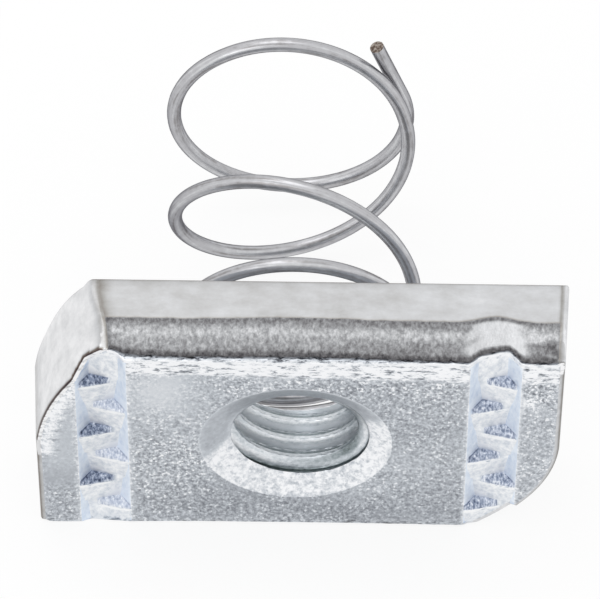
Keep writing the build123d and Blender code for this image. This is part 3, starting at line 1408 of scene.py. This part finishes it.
    def build_sides(self, skin: Skin, rim: Rim) -> np.ndarray:
        """Add the four sides, from the front surface's border to the back face.

        Args:
            skin: what the sides are added to.
            rim: where they begin.

        Returns:
            The border of the back face, as x and z.
        """
        back = self.edge.back(self.thickness)
        long_rows = np.concatenate([self.edge.long_side(), back])
        end_rows = np.concatenate([self.edge.end_side(), back])
        line, crease = self.edge.burnish_line, self.edge.crease
        belongs = rim.belongs[None, :]
        nominal = long_rows[:, 0:1]
        squeeze = self.squeeze(rim.x, rim.z)[None, :]
        rising = np.clip((nominal - crease) / (line - crease), 0, 1)
        fade = np.clip((self.thickness - 0.4 - nominal) / 2.2, 0, 1)
        falling = np.clip(nominal / 0.4, 0, 1) * (1 - rising)
        y = blend(end_rows[:, 0:1], nominal, belongs)
        y = y + belongs * (rising * fade * self.burnish_wave(rim.x) + falling * self.crease_wave(rim))
        inset = blend(end_rows[:, 1:2], long_rows[:, 1:2] * squeeze, belongs)
        looks = self.side_look.at(self, long_rows, end_rows, rim)
        self.open_at_grooves(rim, y, inset, looks)
        torn = np.where(nominal > crease + 0.02, np.clip((line - nominal) / 0.3, 0, 1), 0)
        inset = self.tear(rim, y, inset, belongs * squeeze ** 2, torn)
        x = rim.x + rim.inward[:, 0] * inset
        z = rim.z + rim.inward[:, 1] * inset
        level = self.half + 0.02 - long_rows[:, 1:2] * squeeze
        over = np.maximum(np.abs(z) - level, 0) * (1 - belongs)
        z = z - np.sign(z) * 0.9 * over * np.clip((nominal - 0.3) / 0.3, 0, 1)
        to_back = ease(y, 1.5, 4.5)
        on_nose = ease(z, 9.0, 0.9) * (rim.x < self.crease_x)
        z = blend(z, self.half - inset, on_nose * to_back)
        lean = np.clip((rim.x - self.shift) / 8, -1, 1) * self.end_draft
        fuller = ease(rim.x, self.crease_x + 1.2, -1.2) * ease(rim.z, 3, 6) * self.nose_swell
        x = x + lean * y / self.thickness - fuller * to_back
        grid = np.stack([x, y, z], axis=2)
        grid[0] = rim.front
        skin.add_grid(grid, self.side_regions(long_rows, rim.belongs), looks)
        return grid[-1, :, ::2]

    def open_at_grooves(self, rim: Rim, y: np.ndarray, inset: np.ndarray, looks: np.ndarray) -> None:
        """Start the sides at the groove's floor where a groove runs out through them.

        Args:
            rim: where the sides begin.
            y: depth of each row and column, changed in place.
            inset: inset of each row and column, changed in place.
            looks: look of each row and column, changed in place.
        """
        dark_tone, light_look, lower_look = 0.22, (1.02, -0.5, 0.4), (0.86, 0.4, 0.0)
        on_nose = (rim.x < self.crease_x) & (rim.z > 0)
        for c in np.flatnonzero(rim.floor > y[1]):
            floor = rim.floor[c]
            first = int(np.argmax(y[:, c] > floor + 0.08))
            edge = max(0.02, float(np.interp(floor + 0.05, y[:, c], inset[:, c])) - 0.06)
            share = np.arange(1, first) / first
            inset[1:first, c] = blend(inset[0, c], edge, share ** 0.8)
            y[1:first, c] = floor + 0.03 * share ** 4
            looks[1:first, c] = light_look if rim.z[c] > 0 else lower_look
            if on_nose[c]:
                dark = blend(light_look[0], dark_tone, ease(share, 0.62, 0.28))
                looks[1:first, c, 0] = dark
                for row, part in ((first, 0.7), (first + 1, 0.15)):
                    looks[row, c, 0] = blend(looks[row, c, 0], dark_tone, part)
            y[0, c] = floor

    def tear(self, rim: Rim, y: np.ndarray, inset: np.ndarray, belongs: np.ndarray,
             torn: np.ndarray) -> np.ndarray:
        """Roughen the torn band and let the ridge in front of it waver.

        Args:
            rim: where the sides begin.
            y: depth of each row and column.
            inset: inset of each row and column.
            belongs: how far each column is on a sheared side that isn't cut cleanly.
            torn: how far each row lies in the torn band.

        Returns:
            The new insets.
        """
        coarse, middle, fine = (waver(seed, (rim.x[None, :], along), (y, down), (rim.z[None, :], 0.2))
                                for seed, along, down in ((19.0, 1.1, 1.6), (29.0, 3.0, 3.4),
                                                          (37.0, 8.0, 7.0)))
        smooth_patch = 1 - 0.75 * bell(rim.x, 13.6, 2.0)
        rough = (0.05 * coarse + 0.045 * middle + 0.03 * fine) * smooth_patch
        wavy = 0.06 * coarse + 0.05 * middle + 0.03 * fine
        row = np.arange(len(y))[:, None]
        ridge = (row >= 1) & (row <= len(self.edge.roll_rows))
        return np.maximum(inset + (rough * torn + wavy * ridge) * belongs, 0)

    def side_regions(self, rows: np.ndarray, belongs: np.ndarray) -> np.ndarray:
        """Region number of each face of the sides.

        Args:
            rows: depth, inset and tone of each row of points.
            belongs: how far each column of points is on a sheared side.

        Returns:
            One number for each row and column of faces.
        """
        depth = (rows[:-1, 0] + rows[1:, 0]) / 2
        on_long = np.where(depth < self.edge.crease - 0.04, Region.ROLLED.value,
                           np.where(depth < self.edge.burnish_line + 0.06, Region.TORN.value,
                                    Region.BURNISHED.value))
        across = (belongs + np.roll(belongs, -1)) / 2
        return np.where(across[None, :] > 0.5, on_long[:, None], Region.END.value)

    # hole and back ---------------------------------------------------------

    def build_hole(self, skin: Skin) -> None:
        """Add the threaded wall, with the bottom of one countersink and all of the other.

        Args:
            skin: what the wall is added to.
        """
        thread_start, row_step = 1.0, 0.045
        start = self.sink.depth_at(self.join_radius)
        depths = np.concatenate([np.linspace(start, thread_start, 10)[:-1],
                                 np.arange(thread_start, self.thickness - 0.04, row_step),
                                 [self.thickness]])
        angles = np.array([2 * pi * i / self.around for i in range(self.around)])
        y, angle = np.meshgrid(depths, angles, indexing="ij")
        radius = smooth_max(self.thread.radius_at(angle, y), self.sink.radius_at(y), 0.08)
        radius = smooth_max(radius, self.thread.back_radius_at(y, self.thickness), 0.08)
        radius[0], radius[-1] = self.join_radius, self.thread.back_radius
        grid = np.stack([radius * np.sin(angle), y, radius * np.cos(angle)], axis=2)
        cone = y < self.sink.depth_at(radius) + 0.03
        sunk = self.sink.look_at(grid[:, :, 0], grid[:, :, 2])
        looks = np.where(cone[:, :, None], sunk, self.thread.look_at(angle, y))
        # painted highlight along the left of the edge where the countersink meets the thread
        rim = bell(y, 0.95, 0.07) * ease(-np.sin(angle), -0.3, 1)
        looks = blend(looks, look(0.92, 0.5), 0.45 * rim[:, :, None])
        skin.add_grid(grid, np.where(cone[:-1], Region.SINK.value, Region.THREAD.value), looks)

    def build_back(self, skin: Skin, loop: np.ndarray, seat: "SpringSeat") -> None:
        """Add the back face, with the spring's seat pressed in it.

        Args:
            skin: what the face is added to.
            loop: its border, as x and z.
            seat: the spring's seat.
        """
        hole = np.array(circle(self.thread.back_radius, self.around))
        guides = [circle(radius, 160, closed=True) for radius in seat.rings()]
        step, top = 0.9, self.half - 0.5
        gx, gz = np.meshgrid(np.arange(self.left, self.right, step), np.arange(-top, top + 0.1, step))
        fill = np.stack([gx.ravel(), gz.ravel()], axis=1)
        reach = np.hypot(fill[:, 0], fill[:, 1])
        clear = (reach > seat.rings()[-1] + 0.3) | ((reach > 5.8) & (reach < 7.4))
        fill = fill[inside(fill, loop * 0.985) & clear]
        sheet, faces = triangulate([loop, hole], guides, fill)
        y = self.thickness - seat.depth_at(np.hypot(sheet[:, 0], sheet[:, 1]))
        points = np.stack([sheet[:, 0], y, sheet[:, 1]], axis=1)
        regions = np.full(len(faces), Region.FACE.value)
        skin.add_sheet(points, faces[:, ::-1], regions, look(0.73, 0.3))

    def build(self, seat: "SpringSeat", materials: list[bpy.types.Material]) -> bpy.types.Object:
        """Build the whole plate as one closed mesh.

        Args:
            seat: the spring's seat on its back face.
            materials: one for each region.

        Returns:
            The plate.
        """
        skin = Skin()
        rim = self.build_front(skin)
        back = self.build_sides(skin, rim)
        self.build_hole(skin)
        self.build_back(skin, back, seat)
        seat.build_lugs(skin)
        return skin.to_object("nut_plate", -self.thickness / 2, materials, 32)


@dataclass
class SpringSeat:
    """The ring pressed in the back face, and the lugs peened over the wire.

    A lug's wrap and shoulder are degrees round the wire, from its outer side towards its
    back. The profile gives places along a lug's width, as shares of its half, each with
    the size of the section there.
    """

    coil_radius: float
    face_y: float
    lug_angles: tuple[float, ...]
    half_width: float = 0.55
    depth: float = 0.3
    wall_run: float = 0.05
    lug_width: float = 2.2
    lug_foot: float = 0.9
    lug_cap: float = 0.3
    lug_wrap: float = 60.0
    lug_shoulder: float = 25.0
    lug_sunk: float = 0.1
    lug_profile: tuple[tuple[float, float], ...] = (
        (-1, 0.55), (-0.97, 0.85), (-0.86, 0.97), (-0.6, 1), (0, 1),
        (0.6, 1), (0.86, 0.97), (0.97, 0.85), (1, 0.55))

    def rings(self) -> list[float]:
        """Radii of the seat's walls, top and bottom of each, from the inside out."""
        inner, outer = self.coil_radius - self.half_width, self.coil_radius + self.half_width
        return [inner, inner + self.wall_run, outer - self.wall_run, outer]

    def depth_at(self, radius: np.ndarray) -> np.ndarray:
        """Depth of the seat below the back face."""
        return np.interp(radius, self.rings(), [0, self.depth, self.depth, 0])

    def lug_section(self) -> np.ndarray:
        """Walk once round the section of a lug.

        Returns:
            Radius and y of each corner.
        """
        wire_y = self.face_y - self.depth + self.half_width
        foot = self.coil_radius + self.half_width
        far = foot + self.lug_foot
        sunk = self.face_y - self.depth - self.lug_sunk
        section = [(foot, sunk)]
        for reach, start, end, count in ((self.half_width, 0, self.lug_wrap, 8),
                                         (self.half_width + self.lug_cap, self.lug_wrap,
                                          self.lug_shoulder, 6)):
            section += [(self.coil_radius + reach * cos(radians(a)), wire_y + reach * sin(radians(a)))
                        for a in np.linspace(start, end, count)]
        return np.array(section + [(far, self.face_y), (far, sunk)])

    def build_lugs(self, skin: Skin) -> None:
        """Add each lug as a rounded block that stands in the plate.

        Args:
            skin: what the lugs are added to.
        """
        section = self.lug_section()
        centre = section.mean(axis=0)
        dressed = look(0.74, 0.5)
        for angle in self.lug_angles:
            a = radians(angle)
            rows = []
            for offset, size in self.lug_profile:
                radius, y = (centre + (section - centre) * size).T
                across = offset * self.lug_width / 2
                x = radius * sin(a) + across * cos(a)
                z = radius * cos(a) - across * sin(a)
                rows.append(np.stack([x, y, z], axis=1))
            skin.add_grid(np.array(rows), Region.FACE.value, dressed)
            skin.add_cap(rows[0], Region.FACE.value, dressed, 1)
            skin.add_cap(rows[-1], Region.FACE.value, dressed, -1)


# --- the spring --------------------------------------------------------------


@dataclass
class CoilSpring:
    """The spring, one round wire from its free tail to its seat on the plate.

    The fields that end in turns are the lengths of its stretches, free end first. Angles
    are in degrees from +Z towards +X, and lean is how far it drifts along X for each
    millimetre along Y.
    """

    wire: float = 1.0
    radius: float = 8.25
    lean: float = -0.035
    seated_y: float = 6.75
    tail_length: float = 5.6
    tail_angle: float = 71.0
    free_turns: float = 0.73
    leaving_turns: float = 0.30
    active_turns: float = 1.17
    closing_turns: float = 0.16
    ring_turns: float = 0.60
    opening_turns: float = 0.15
    landing_turns: float = 0.50
    settling_turns: float = 0.17
    active_pitch: float = 13.4
    ring_pitch: float = 0.3
    landing_pitch: float = 3.4
    turn_gap: float = 0.2
    sides: int = 22
    spacing: float = 0.3
    cut_shares: tuple[float, ...] = (1.0, 0.86, 0.344)

    def seated_turns(self) -> float:
        """Turns of the flat stretch in the seat."""
        return 1 - self.settling_turns / 2 - (self.wire + self.turn_gap) / self.landing_pitch

    def stretches(self) -> list[tuple[float, float, float]]:
        """List the stretches of the wire, free end first.

        Returns:
            Turns, first pitch and last pitch of each.
        """
        full, ring, land = self.active_pitch, self.ring_pitch, self.landing_pitch
        return [(self.free_turns, 0, 0), (self.leaving_turns, 0, full),
                (self.active_turns, full, full), (self.closing_turns, full, ring),
                (self.ring_turns, ring, ring), (self.opening_turns, ring, land),
                (self.landing_turns, land, land), (self.settling_turns, land, 0),
                (self.seated_turns(), 0, 0)]

    def turns(self) -> float:
        """Turns from the end of the tail to the seated end."""
        return sum(count for count, _, _ in self.stretches())

    def height(self, turn: float) -> float:
        """Find how high the wire's middle is.

        Args:
            turn: how many turns lie between there and the end of the tail.

        Returns:
            Its y.
        """
        y = self.seated_y + sum(n * (a + b) / 2 for n, a, b in self.stretches())
        for count, start, end in self.stretches():
            part = min(turn, count)
            y -= part * (start + start + (end - start) * part / count) / 2
            turn -= part
            if turn <= 0:
                break
        return y

    def place(self, turn: float) -> Vector:
        """Find the middle of the wire.

        Args:
            turn: how many turns lie between there and the end of the tail.

        Returns:
            The place.
        """
        angle = radians(self.tail_angle + 360 * turn)
        y = self.height(turn)
        drift = self.lean * (y - self.seated_y)
        return Vector((drift + self.radius * sin(angle), y, self.radius * cos(angle)))

    def centre_line(self) -> list[Vector]:
        """Walk along the wire's middle.

        Returns:
            Places from its free tail to its seated end.
        """
        first = self.place(0)
        leave = (self.place(0.0005) - first).normalized()
        steps = ceil(self.tail_length / self.spacing)
        tail = [first - leave * self.tail_length * (1 - i / steps) for i in range(steps)]
        count = ceil(self.turns() * 2 * pi * self.radius / self.spacing)
        return tail + [self.place(self.turns() * i / count) for i in range(count + 1)]

    def lug_angles(self, count: int) -> tuple[float, ...]:
        """Spread some lugs over the seated stretch.

        Args:
            count: how many lugs there are.

        Returns:
            The angle of each.
        """
        end = self.tail_angle + 360 * self.turns()
        span = 360 * self.seated_turns()
        return tuple(end - span * (index + 0.5) / count for index in range(count))

    def sweep(self) -> tuple[np.ndarray, np.ndarray]:
        """Sweep the wire's section along its line.

        Returns:
            Rows by columns by three coordinates, and the same by where each point lies
            along and around the wire.
        """
        line = self.centre_line()
        angles = 2 * pi * np.arange(self.sides) / self.sides
        u, v = self.wire / 2 * np.cos(angles), self.wire / 2 * np.sin(angles)
        rings, grain = [], []
        along = 0.0
        side = Vector((1, 0, 0))
        for before, here, after in zip(line[:1] + line, line, line[1:] + line[-1:]):
            tangent = (after - before).normalized()
            side = (side - tangent * side.dot(tangent)).normalized()
            other = tangent.cross(side)
            along += (here - before).length
            rings.append(np.array(here) + np.outer(u, np.array(side)) + np.outer(v, np.array(other)))
            grain.append(np.stack([np.full_like(u, along), u, v], axis=1))
        return np.array(rings), np.array(grain)

    def build(self, shift_y: float, materials: list[bpy.types.Material]) -> bpy.types.Object:
        """Build the wire as one closed mesh, with a flat cut at each end.

        Each point keeps where it lies along and around the wire, so that the drawn
        surface can run lengthwise.

        Args:
            shift_y: from the plate's frame to the shared one, in millimetres.
            materials: of the wire, and of its cut ends.

        Returns:
            The spring.
        """
        skin = Skin("grain")
        rings, grain = self.sweep()
        skin.add_grid(rings, 0, grain)
        for end, turn in ((0, -1), (-1, 1)):
            middle = rings[end].mean(axis=0)
            cut = np.array([middle + (rings[end] - middle) * share for share in self.cut_shares])
            marks = np.array([grain[end] * [1, share, share] for share in self.cut_shares])
            skin.add_grid(cut, 1, marks)
            skin.add_cap(cut[-1], 1, marks[-1], turn)
        return skin.to_object("spring_wire", shift_y, materials, 50)


# --- finishes ----------------------------------------------------------------


@dataclass(frozen=True)
class Grain:
    """Fractal noise: features for each mm, stretch along each axis, detail and roughness."""

    per_mm: float
    stretch: tuple[float, float, float] = (1, 1, 1)
    detail: float = 3
    roughness: float = 0.55


class Wiring:
    """Short hand for wiring up one tree of shader nodes."""

    def __init__(self, tree: bpy.types.NodeTree) -> None:
        """Start on a tree."""
        self.tree = tree

    def add(self, kind: str, inputs: dict[int | str, object], output: int | str = 0,
            **settings: object) -> bpy.types.NodeSocket:
        """Add a node.

        Args:
            kind: of the node.
            inputs: what goes in, a value or another node's output for each socket.
            output: the socket that is wanted.
            settings: the node's options by name.

        Returns:
            That output.
        """
        node = self.tree.nodes.new(kind)
        for name, value in settings.items():
            setattr(node, name, value)
        self.fill(node, inputs)
        return node.outputs[output]

    def fill(self, node: bpy.types.Node, inputs: dict[int | str, object]) -> None:
        """Link or set some inputs of a node.

        Args:
            node: whose inputs they are.
            inputs: a value or another node's output for each socket.
        """
        for key, value in inputs.items():
            if isinstance(value, bpy.types.NodeSocket):
                self.tree.links.new(value, node.inputs[key])
            else:
                node.inputs[key].default_value = value

    def reckon(self, operation: str, a: object, b: object) -> bpy.types.NodeSocket:
        """One step of arithmetic."""
        return self.add("ShaderNodeMath", {0: a, 1: b}, operation=operation)

    def seen_directly(self) -> bpy.types.NodeSocket:
        """One for rays from the camera or off a glossy or clear surface, zero for others."""
        camera, glossy, clear = (self.add("ShaderNodeLightPath", {}, ray) for ray in (
            "Is Camera Ray", "Is Glossy Ray", "Is Transmission Ray"))
        return self.reckon("MAXIMUM", self.reckon("MAXIMUM", camera, glossy), clear)


class Bench(Wiring):
    """Short hand for wiring up one metal. Lengths are in millimetres."""

    def __init__(self, name: str) -> None:
        """Start a material with one Principled shader.

        Args:
            name: of the material.
        """
        self.material = bpy.data.materials.new(name)
        self.material.use_nodes = True
        super().__init__(self.material.node_tree)
        self.shader = self.tree.nodes["Principled BSDF"]
        self.place = self.scaled(self.add("ShaderNodeTexCoord", {}, "Object"), (1 / MM,) * 3)

    def scaled(self, vector: bpy.types.NodeSocket,
               factors: tuple[float, float, float]) -> bpy.types.NodeSocket:
        """Vector times a factor along each axis."""
        return self.add("ShaderNodeVectorMath", {0: vector, 1: factors}, operation="MULTIPLY")

    def noise(self, grain: Grain, vector: bpy.types.NodeSocket | None = None) -> bpy.types.NodeSocket:
        """Fractal noise over the surface or another vector, from 0 to 1."""
        return self.add("ShaderNodeTexNoise", {
            "Vector": self.scaled(vector or self.place, grain.stretch), "Scale": grain.per_mm,
            "Detail": grain.detail, "Roughness": grain.roughness}, "Fac")

    def cells(self, grain: Grain) -> bpy.types.NodeSocket:
        """A flat random value for each of many small cells, from 0 to 1."""
        inputs = {"Vector": self.scaled(self.place, grain.stretch), "Scale": grain.per_mm}
        return self.add("ShaderNodeSeparateColor", {0: self.add("ShaderNodeTexVoronoi", inputs, "Color")})

    def span(self, value: object, *limits: float) -> bpy.types.NodeSocket:
        """Map a range smoothly to another one; the limits are both ends of the two ranges."""
        inputs = dict(enumerate((value, *limits)))
        return self.add("ShaderNodeMapRange", inputs, interpolation_type="SMOOTHSTEP")

    def carried(self, layer: str) -> bpy.types.NodeSocket:
        """Three values that the mesh carries at each point."""
        return self.add("ShaderNodeAttribute", {}, "Vector", attribute_name=layer)

    def split(self, vector: bpy.types.NodeSocket) -> list[bpy.types.NodeSocket]:
        """The three parts of a vector."""
        return [self.add("ShaderNodeSeparateXYZ", {0: vector}, part) for part in "XYZ"]

    def between(self, share: object, a: object, b: object) -> bpy.types.NodeSocket:
        """Number between a and b."""
        return self.add("ShaderNodeMix", {0: share, 2: a, 3: b}, data_type="FLOAT")

    def mixed(self, share: object, a: object, b: object) -> bpy.types.NodeSocket:
        """Colour between a and b."""
        return self.add("ShaderNodeMix", {0: share, 6: a, 7: b}, 2, data_type="RGBA")

    def ramp(self, value: bpy.types.NodeSocket, palette: tuple[str, ...]) -> bpy.types.NodeSocket:
        """Find the colour of a tone.

        Args:
            value: the tone.
            palette: colours in equal steps of tone, from 0 to 1.

        Returns:
            The colour.
        """
        colour = self.add("ShaderNodeValToRGB", {0: value})
        stops = colour.node.color_ramp.elements
        for index in range(1, len(palette) - 1):
            stops.new(index / (len(palette) - 1))
        for stop, code in zip(stops, palette):
            stop.color = tint(code)
        return colour

    def metal(self, colour: object, roughness: float, height: bpy.types.NodeSocket,
              relief: float) -> bpy.types.Material:
        """Finish the material as bare metal.

        Args:
            colour: of the metal.
            roughness: of its surface.
            height: how far the surface is raised, from 0 to 1.
            relief: how high 1 is, in millimetres.

        Returns:
            The material.
        """
        normal = self.add("ShaderNodeBump", {"Strength": 1.0, "Distance": relief * MM, "Height": height})
        self.fill(self.shader, {"Metallic": 1.0, "Base Color": colour, "Roughness": roughness,
                                "Normal": normal})
        return self.material


@dataclass(frozen=True)
class Plating:
    """Zinc plating over one kind of surface.

    The palette runs from black to white in equal steps of tone. The mesh says which tone
    each place has, how calm it is there and how far its flecks are drawn into streaks.
    Contrast, crystals and glints are how far flecks, crystals and the brightest of the crystals move the
    tone; the glints are painted highlights. Glinting says which crystals glint, and streaking which range
    of the streaks turns into which change of tone.
    """

    name: str
    palette: tuple[str, str, str, str, str, str]
    flecks_per_mm: float = 5.0
    stretch: tuple[float, float, float] = (0.65, 1.0, 1.0)
    contrast: float = 0.5
    crystals: float = 0.0
    glints: float = 0.0
    relief: float = 0.02
    roughness: float = 0.36
    crystal: Grain = Grain(9.0, (0.75, 1, 0.6))
    glinting: tuple[float, float] = (0.86, 0.97)
    streak: Grain = Grain(2.4, (0.55, 1.5, 1.7), 5, 0.72)
    streaking: tuple[float, float, float, float] = (0.54, 0.31, 0.06, -0.62)

    def material(self) -> bpy.types.Material:
        """Build the finish.

        Returns:
            The material.
        """
        b = Bench(self.name)
        tone, calm, drawn = b.split(b.carried("look"))
        flecks = b.noise(Grain(self.flecks_per_mm, self.stretch, 4, 0.68))
        swing = b.reckon("MULTIPLY", b.reckon("SUBTRACT", flecks, 0.5), self.contrast)
        if self.crystals:
            cells = b.cells(self.crystal)
            varied = b.reckon("MULTIPLY", b.reckon("SUBTRACT", cells, 0.5), self.crystals)
            swing = b.reckon("ADD", swing, varied)
            swing = b.reckon("ADD", swing, b.span(cells, *self.glinting, 0.0, self.glints))
        lively = b.reckon("MULTIPLY", swing, b.reckon("SUBTRACT", 1.0, calm))
        streaks = b.noise(self.streak)
        moved = b.between(drawn, lively, b.span(streaks, *self.streaking))
        colour = b.ramp(b.reckon("ADD", tone, moved), self.palette)
        return b.metal(colour, self.roughness, b.between(drawn, flecks, streaks), self.relief)


@dataclass(frozen=True)
class SpringWire:
    """Galvanised wire: satin, with faint marks drawn along it."""

    name: str = "spring_wire"
    light: str = "d6d7d9"
    middle: str = "bdbdc0"
    dark: str = "979596"
    rim: str = "85858a"
    drawn: Grain = Grain(1.0, (0.16, 4.2, 4.2), 4, 0.5)
    spots: Grain = Grain(1.0, (1.6, 2.2, 2.2), 3, 0.6)
    spot_share: float = 0.25
    relief: float = 0.02
    roughness: float = 0.3

    def material(self) -> bpy.types.Material:
        """Build the finish.

        Returns:
            The material.
        """
        b = Bench(self.name)
        grain = b.carried("grain")
        drawn = b.reckon("MULTIPLY", b.noise(self.drawn, grain), 1 - self.spot_share)
        spots = b.reckon("MULTIPLY", b.noise(self.spots, grain), self.spot_share)
        both = b.reckon("ADD", drawn, spots)
        lower = b.mixed(b.span(both, 0.36, 0.5, 0, 1), tint(self.dark), tint(self.middle))
        colour = b.mixed(b.span(both, 0.5, 0.66, 0, 1), lower, tint(self.light))
        b.fill(b.shader, {"Specular Tint": tint(self.rim)})
        return b.metal(colour, self.roughness, both, self.relief)


@dataclass(frozen=True)
class CutWire:
    """The sheared end of the wire, where bare steel has browned."""

    name: str = "spring_wire_cut"
    pale: str = "a39a92"
    brown: str = "5d4f47"
    marks: Grain = Grain(6.0)
    relief: float = 0.02
    roughness: float = 0.5

    def material(self) -> bpy.types.Material:
        """Build the finish.

        Returns:
            The material.
        """
        b = Bench(self.name)
        marks = b.noise(self.marks)
        colour = b.mixed(b.span(marks, 0.4, 0.62, 0, 1), tint(self.brown), tint(self.pale))
        return b.metal(colour, self.roughness, marks, self.relief)


def plate_materials() -> list[bpy.types.Material]:
    """Make the plate's materials.

    Returns:
        One for each region, in the order of the regions.
    """
    grey = ("101114", "35373c", "686b71", "989ca3", "cacfd5", "fbfcfe")
    warm = ("17121a", "3f3339", "71665f", "9b9996", "cbccce", "fafafb")
    dull = ("121113", "343336", "676668", "999a9c", "cccdcf", "f6f6f6")
    blue = ("101828", "2a3850", "5a6c88", "90a3be", "c9d7ea", "f2f8ff")
    cool = ("15181f", "363c48", "6a7280", "9ba4b1", "ced5de", "fdfeff")
    deep = ("0b0f1a", "272f42", "566077", "8a95ab", "c2cada", "f3f6fb")
    cut = ("0f1413", "303a39", "626c6d", "969fa3", "cbd1d6", "f9fbfd")
    made = {
        Region.FACE: Plating("zinc_face", grey, 5.6, (0.66, 1, 0.55), 0.85, 0.14, 0.10, 0.02),
        Region.BURNISHED: Plating("zinc_burnished", warm, 0.9, (0.6, 1, 1), 0.45, relief=0.004),
        Region.TORN: Plating("zinc_torn", dull, 4.4, (0.9, 0.6, 1), 0.72, relief=0.05, roughness=0.45),
        Region.GROOVE_WALL: Plating("zinc_groove_wall", blue, 2.0, (1, 1, 0.5), 0.4, roughness=0.5),
        Region.GROOVE_FLOOR: Plating("zinc_groove_floor", cool, 2.6, (1, 1, 0.7), 0.5, roughness=0.5),
        Region.TOOTH: Plating("zinc_tooth", deep, 5.5, (1.2, 0.8, 0.4), 1.7, relief=0.05, roughness=0.45),
        Region.SINK: Plating("zinc_sink", grey, 2.6, (0.8, 1, 0.8), 0.9, 0.10, 0.0, 0.015),
        Region.THREAD: Plating("zinc_thread", cut, 3.0, (1, 3, 1), 0.5, relief=0.015, roughness=0.3),
        Region.END: Plating("zinc_end", warm, 0.9, (1, 1, 1), 0.45, relief=0.004),
        Region.ROLLED: Plating("zinc_rolled", grey, 4.0, (0.4, 1, 1), 0.6, relief=0.03),
    }
    return [made[region].material() for region in Region]


# --- studio ------------------------------------------------------------------


@dataclass(frozen=True)
class Lamp:
    """One soft rectangular lamp that looks at the object."""

    name: str
    place: tuple[float, float, float]
    width: float
    height: float
    watts: float

    def hang(self) -> None:
        """Hang the lamp and turn it to the object."""
        data = bpy.data.lights.new(self.name, "AREA")
        data.shape = "RECTANGLE"
        data.size, data.size_y = self.width, self.height
        data.energy = self.watts
        light = bpy.data.objects.new(self.name, data)
        light.location = self.place
        light.rotation_euler = Vector(self.place).to_track_quat("Z", "Y").to_euler()
        bpy.context.scene.collection.objects.link(light)


@dataclass
class Studio:
    """Camera, pale floor and plain soft light, in metres and degrees.

    The floor's glow is the share of plain white in how it looks, and its drop is how far
    it lies below the object.
    """

    target: tuple[float, float, float] = (0.000262, -0.00325, 0.016947)
    azimuth: float = 0.544
    elevation: float = 54.627
    roll: float = 0.318
    distance: float = 0.353705
    field: float = 6.334
    sensor: float = 36.0
    floor_size: float = 1.6
    floor_drop: float = 0.00005
    floor_paint: float = 0.93
    floor_glow: float = 0.86
    ambient: float = 0.95
    lamps: tuple[Lamp, ...] = (
        Lamp("lamp_above", (-0.12, 0.12, 0.5), 0.3, 0.3, 0.35),
        Lamp("lamp_front_left", (-0.35, -0.35, 0.3), 0.25, 0.3, 0.25),
    )

    def add_camera(self) -> None:
        """Stand the camera where the object was looked at from."""
        az, el, roll = radians(self.azimuth), radians(self.elevation), radians(self.roll)
        back = Vector((sin(az) * cos(el), -cos(az) * cos(el), sin(el)))
        right = Vector((cos(az), sin(az), 0))
        up = back.cross(right)
        turned_right = right * cos(roll) + up * sin(roll)
        turned_up = up * cos(roll) - right * sin(roll)
        data = bpy.data.cameras.new("camera")
        data.sensor_width = self.sensor
        data.lens = self.sensor / 2 / tan(radians(self.field / 2))
        camera = bpy.data.objects.new("camera", data)
        place = Vector(self.target) + back * self.distance
        axes = Matrix((turned_right, turned_up, back)).transposed()
        camera.matrix_world = Matrix.Translation(place) @ axes.to_4x4()
        bpy.context.scene.collection.objects.link(camera)
        bpy.context.scene.camera = camera

    def add_floor(self, level: float) -> None:
        """Lay a pale floor, which keeps the object's shadow.

        Args:
            level: height of the floor.
        """
        half = self.floor_size / 2
        mesh = bpy.data.meshes.new("floor")
        corners = [(-half, -half, level), (half, -half, level), (half, half, level), (-half, half, level)]
        mesh.from_pydata(corners, [], [(0, 1, 2, 3)])
        floor = bpy.data.objects.new("floor", mesh)
        bpy.context.scene.collection.objects.link(floor)
        material = bpy.data.materials.new("floor_white")
        material.use_nodes = True
        material.node_tree.nodes.clear()
        wiring = Wiring(material.node_tree)
        paint = wiring.add("ShaderNodeBsdfDiffuse", {"Color": (self.floor_paint,) * 3 + (1,)})
        glow = wiring.add("ShaderNodeEmission", {"Strength": 1.0})
        share = wiring.reckon("MULTIPLY", wiring.seen_directly(), self.floor_glow)
        both = wiring.add("ShaderNodeMixShader", {0: share, 1: paint, 2: glow})
        wiring.fill(wiring.tree.nodes.new("ShaderNodeOutputMaterial"), {0: both})
        mesh.materials.append(material)
        floor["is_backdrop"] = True

    def add_world(self) -> None:
        """Surround the object with plain white light."""
        world = bpy.data.worlds.new("room")
        bpy.context.scene.world = world
        world.use_nodes = True
        wiring = Wiring(world.node_tree)
        level = wiring.add("ShaderNodeMapRange", {"Value": wiring.seen_directly(),
                                                  "To Min": self.ambient, "To Max": 1.0})
        wiring.fill(wiring.tree.nodes["Background"], {"Color": (1, 1, 1, 1), "Strength": level})

    def build(self, lowest: float) -> None:
        """Set up the whole studio.

        Args:
            lowest: height at which the object stands.
        """
        self.add_camera()
        self.add_floor(lowest - self.floor_drop)
        self.add_world()
        for lamp in self.lamps:
            lamp.hang()
        bpy.context.scene.view_settings.view_transform = "Standard"


def main() -> None:
    """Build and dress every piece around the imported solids, in order."""
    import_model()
    low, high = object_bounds()
    Studio().build(low.z)
    plate, spring = NutPlate(), CoilSpring()
    seat = SpringSeat(spring.radius, plate.thickness, spring.lug_angles(3))

    nut = plate.build(seat, plate_materials())
    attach(nut, "root")
    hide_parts("nut_body")
    log.info("%s: %d faces", nut.name, len(nut.data.polygons))

    wire = spring.build(-plate.thickness / 2, [SpringWire().material(), CutWire().material()])
    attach(wire, "root")
    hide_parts("coil_spring")
    log.info("%s: %d faces", wire.name, len(wire.data.polygons))


if __name__ == "__main__":
    logging.basicConfig(level=logging.INFO, format="%(message)s")
    main()
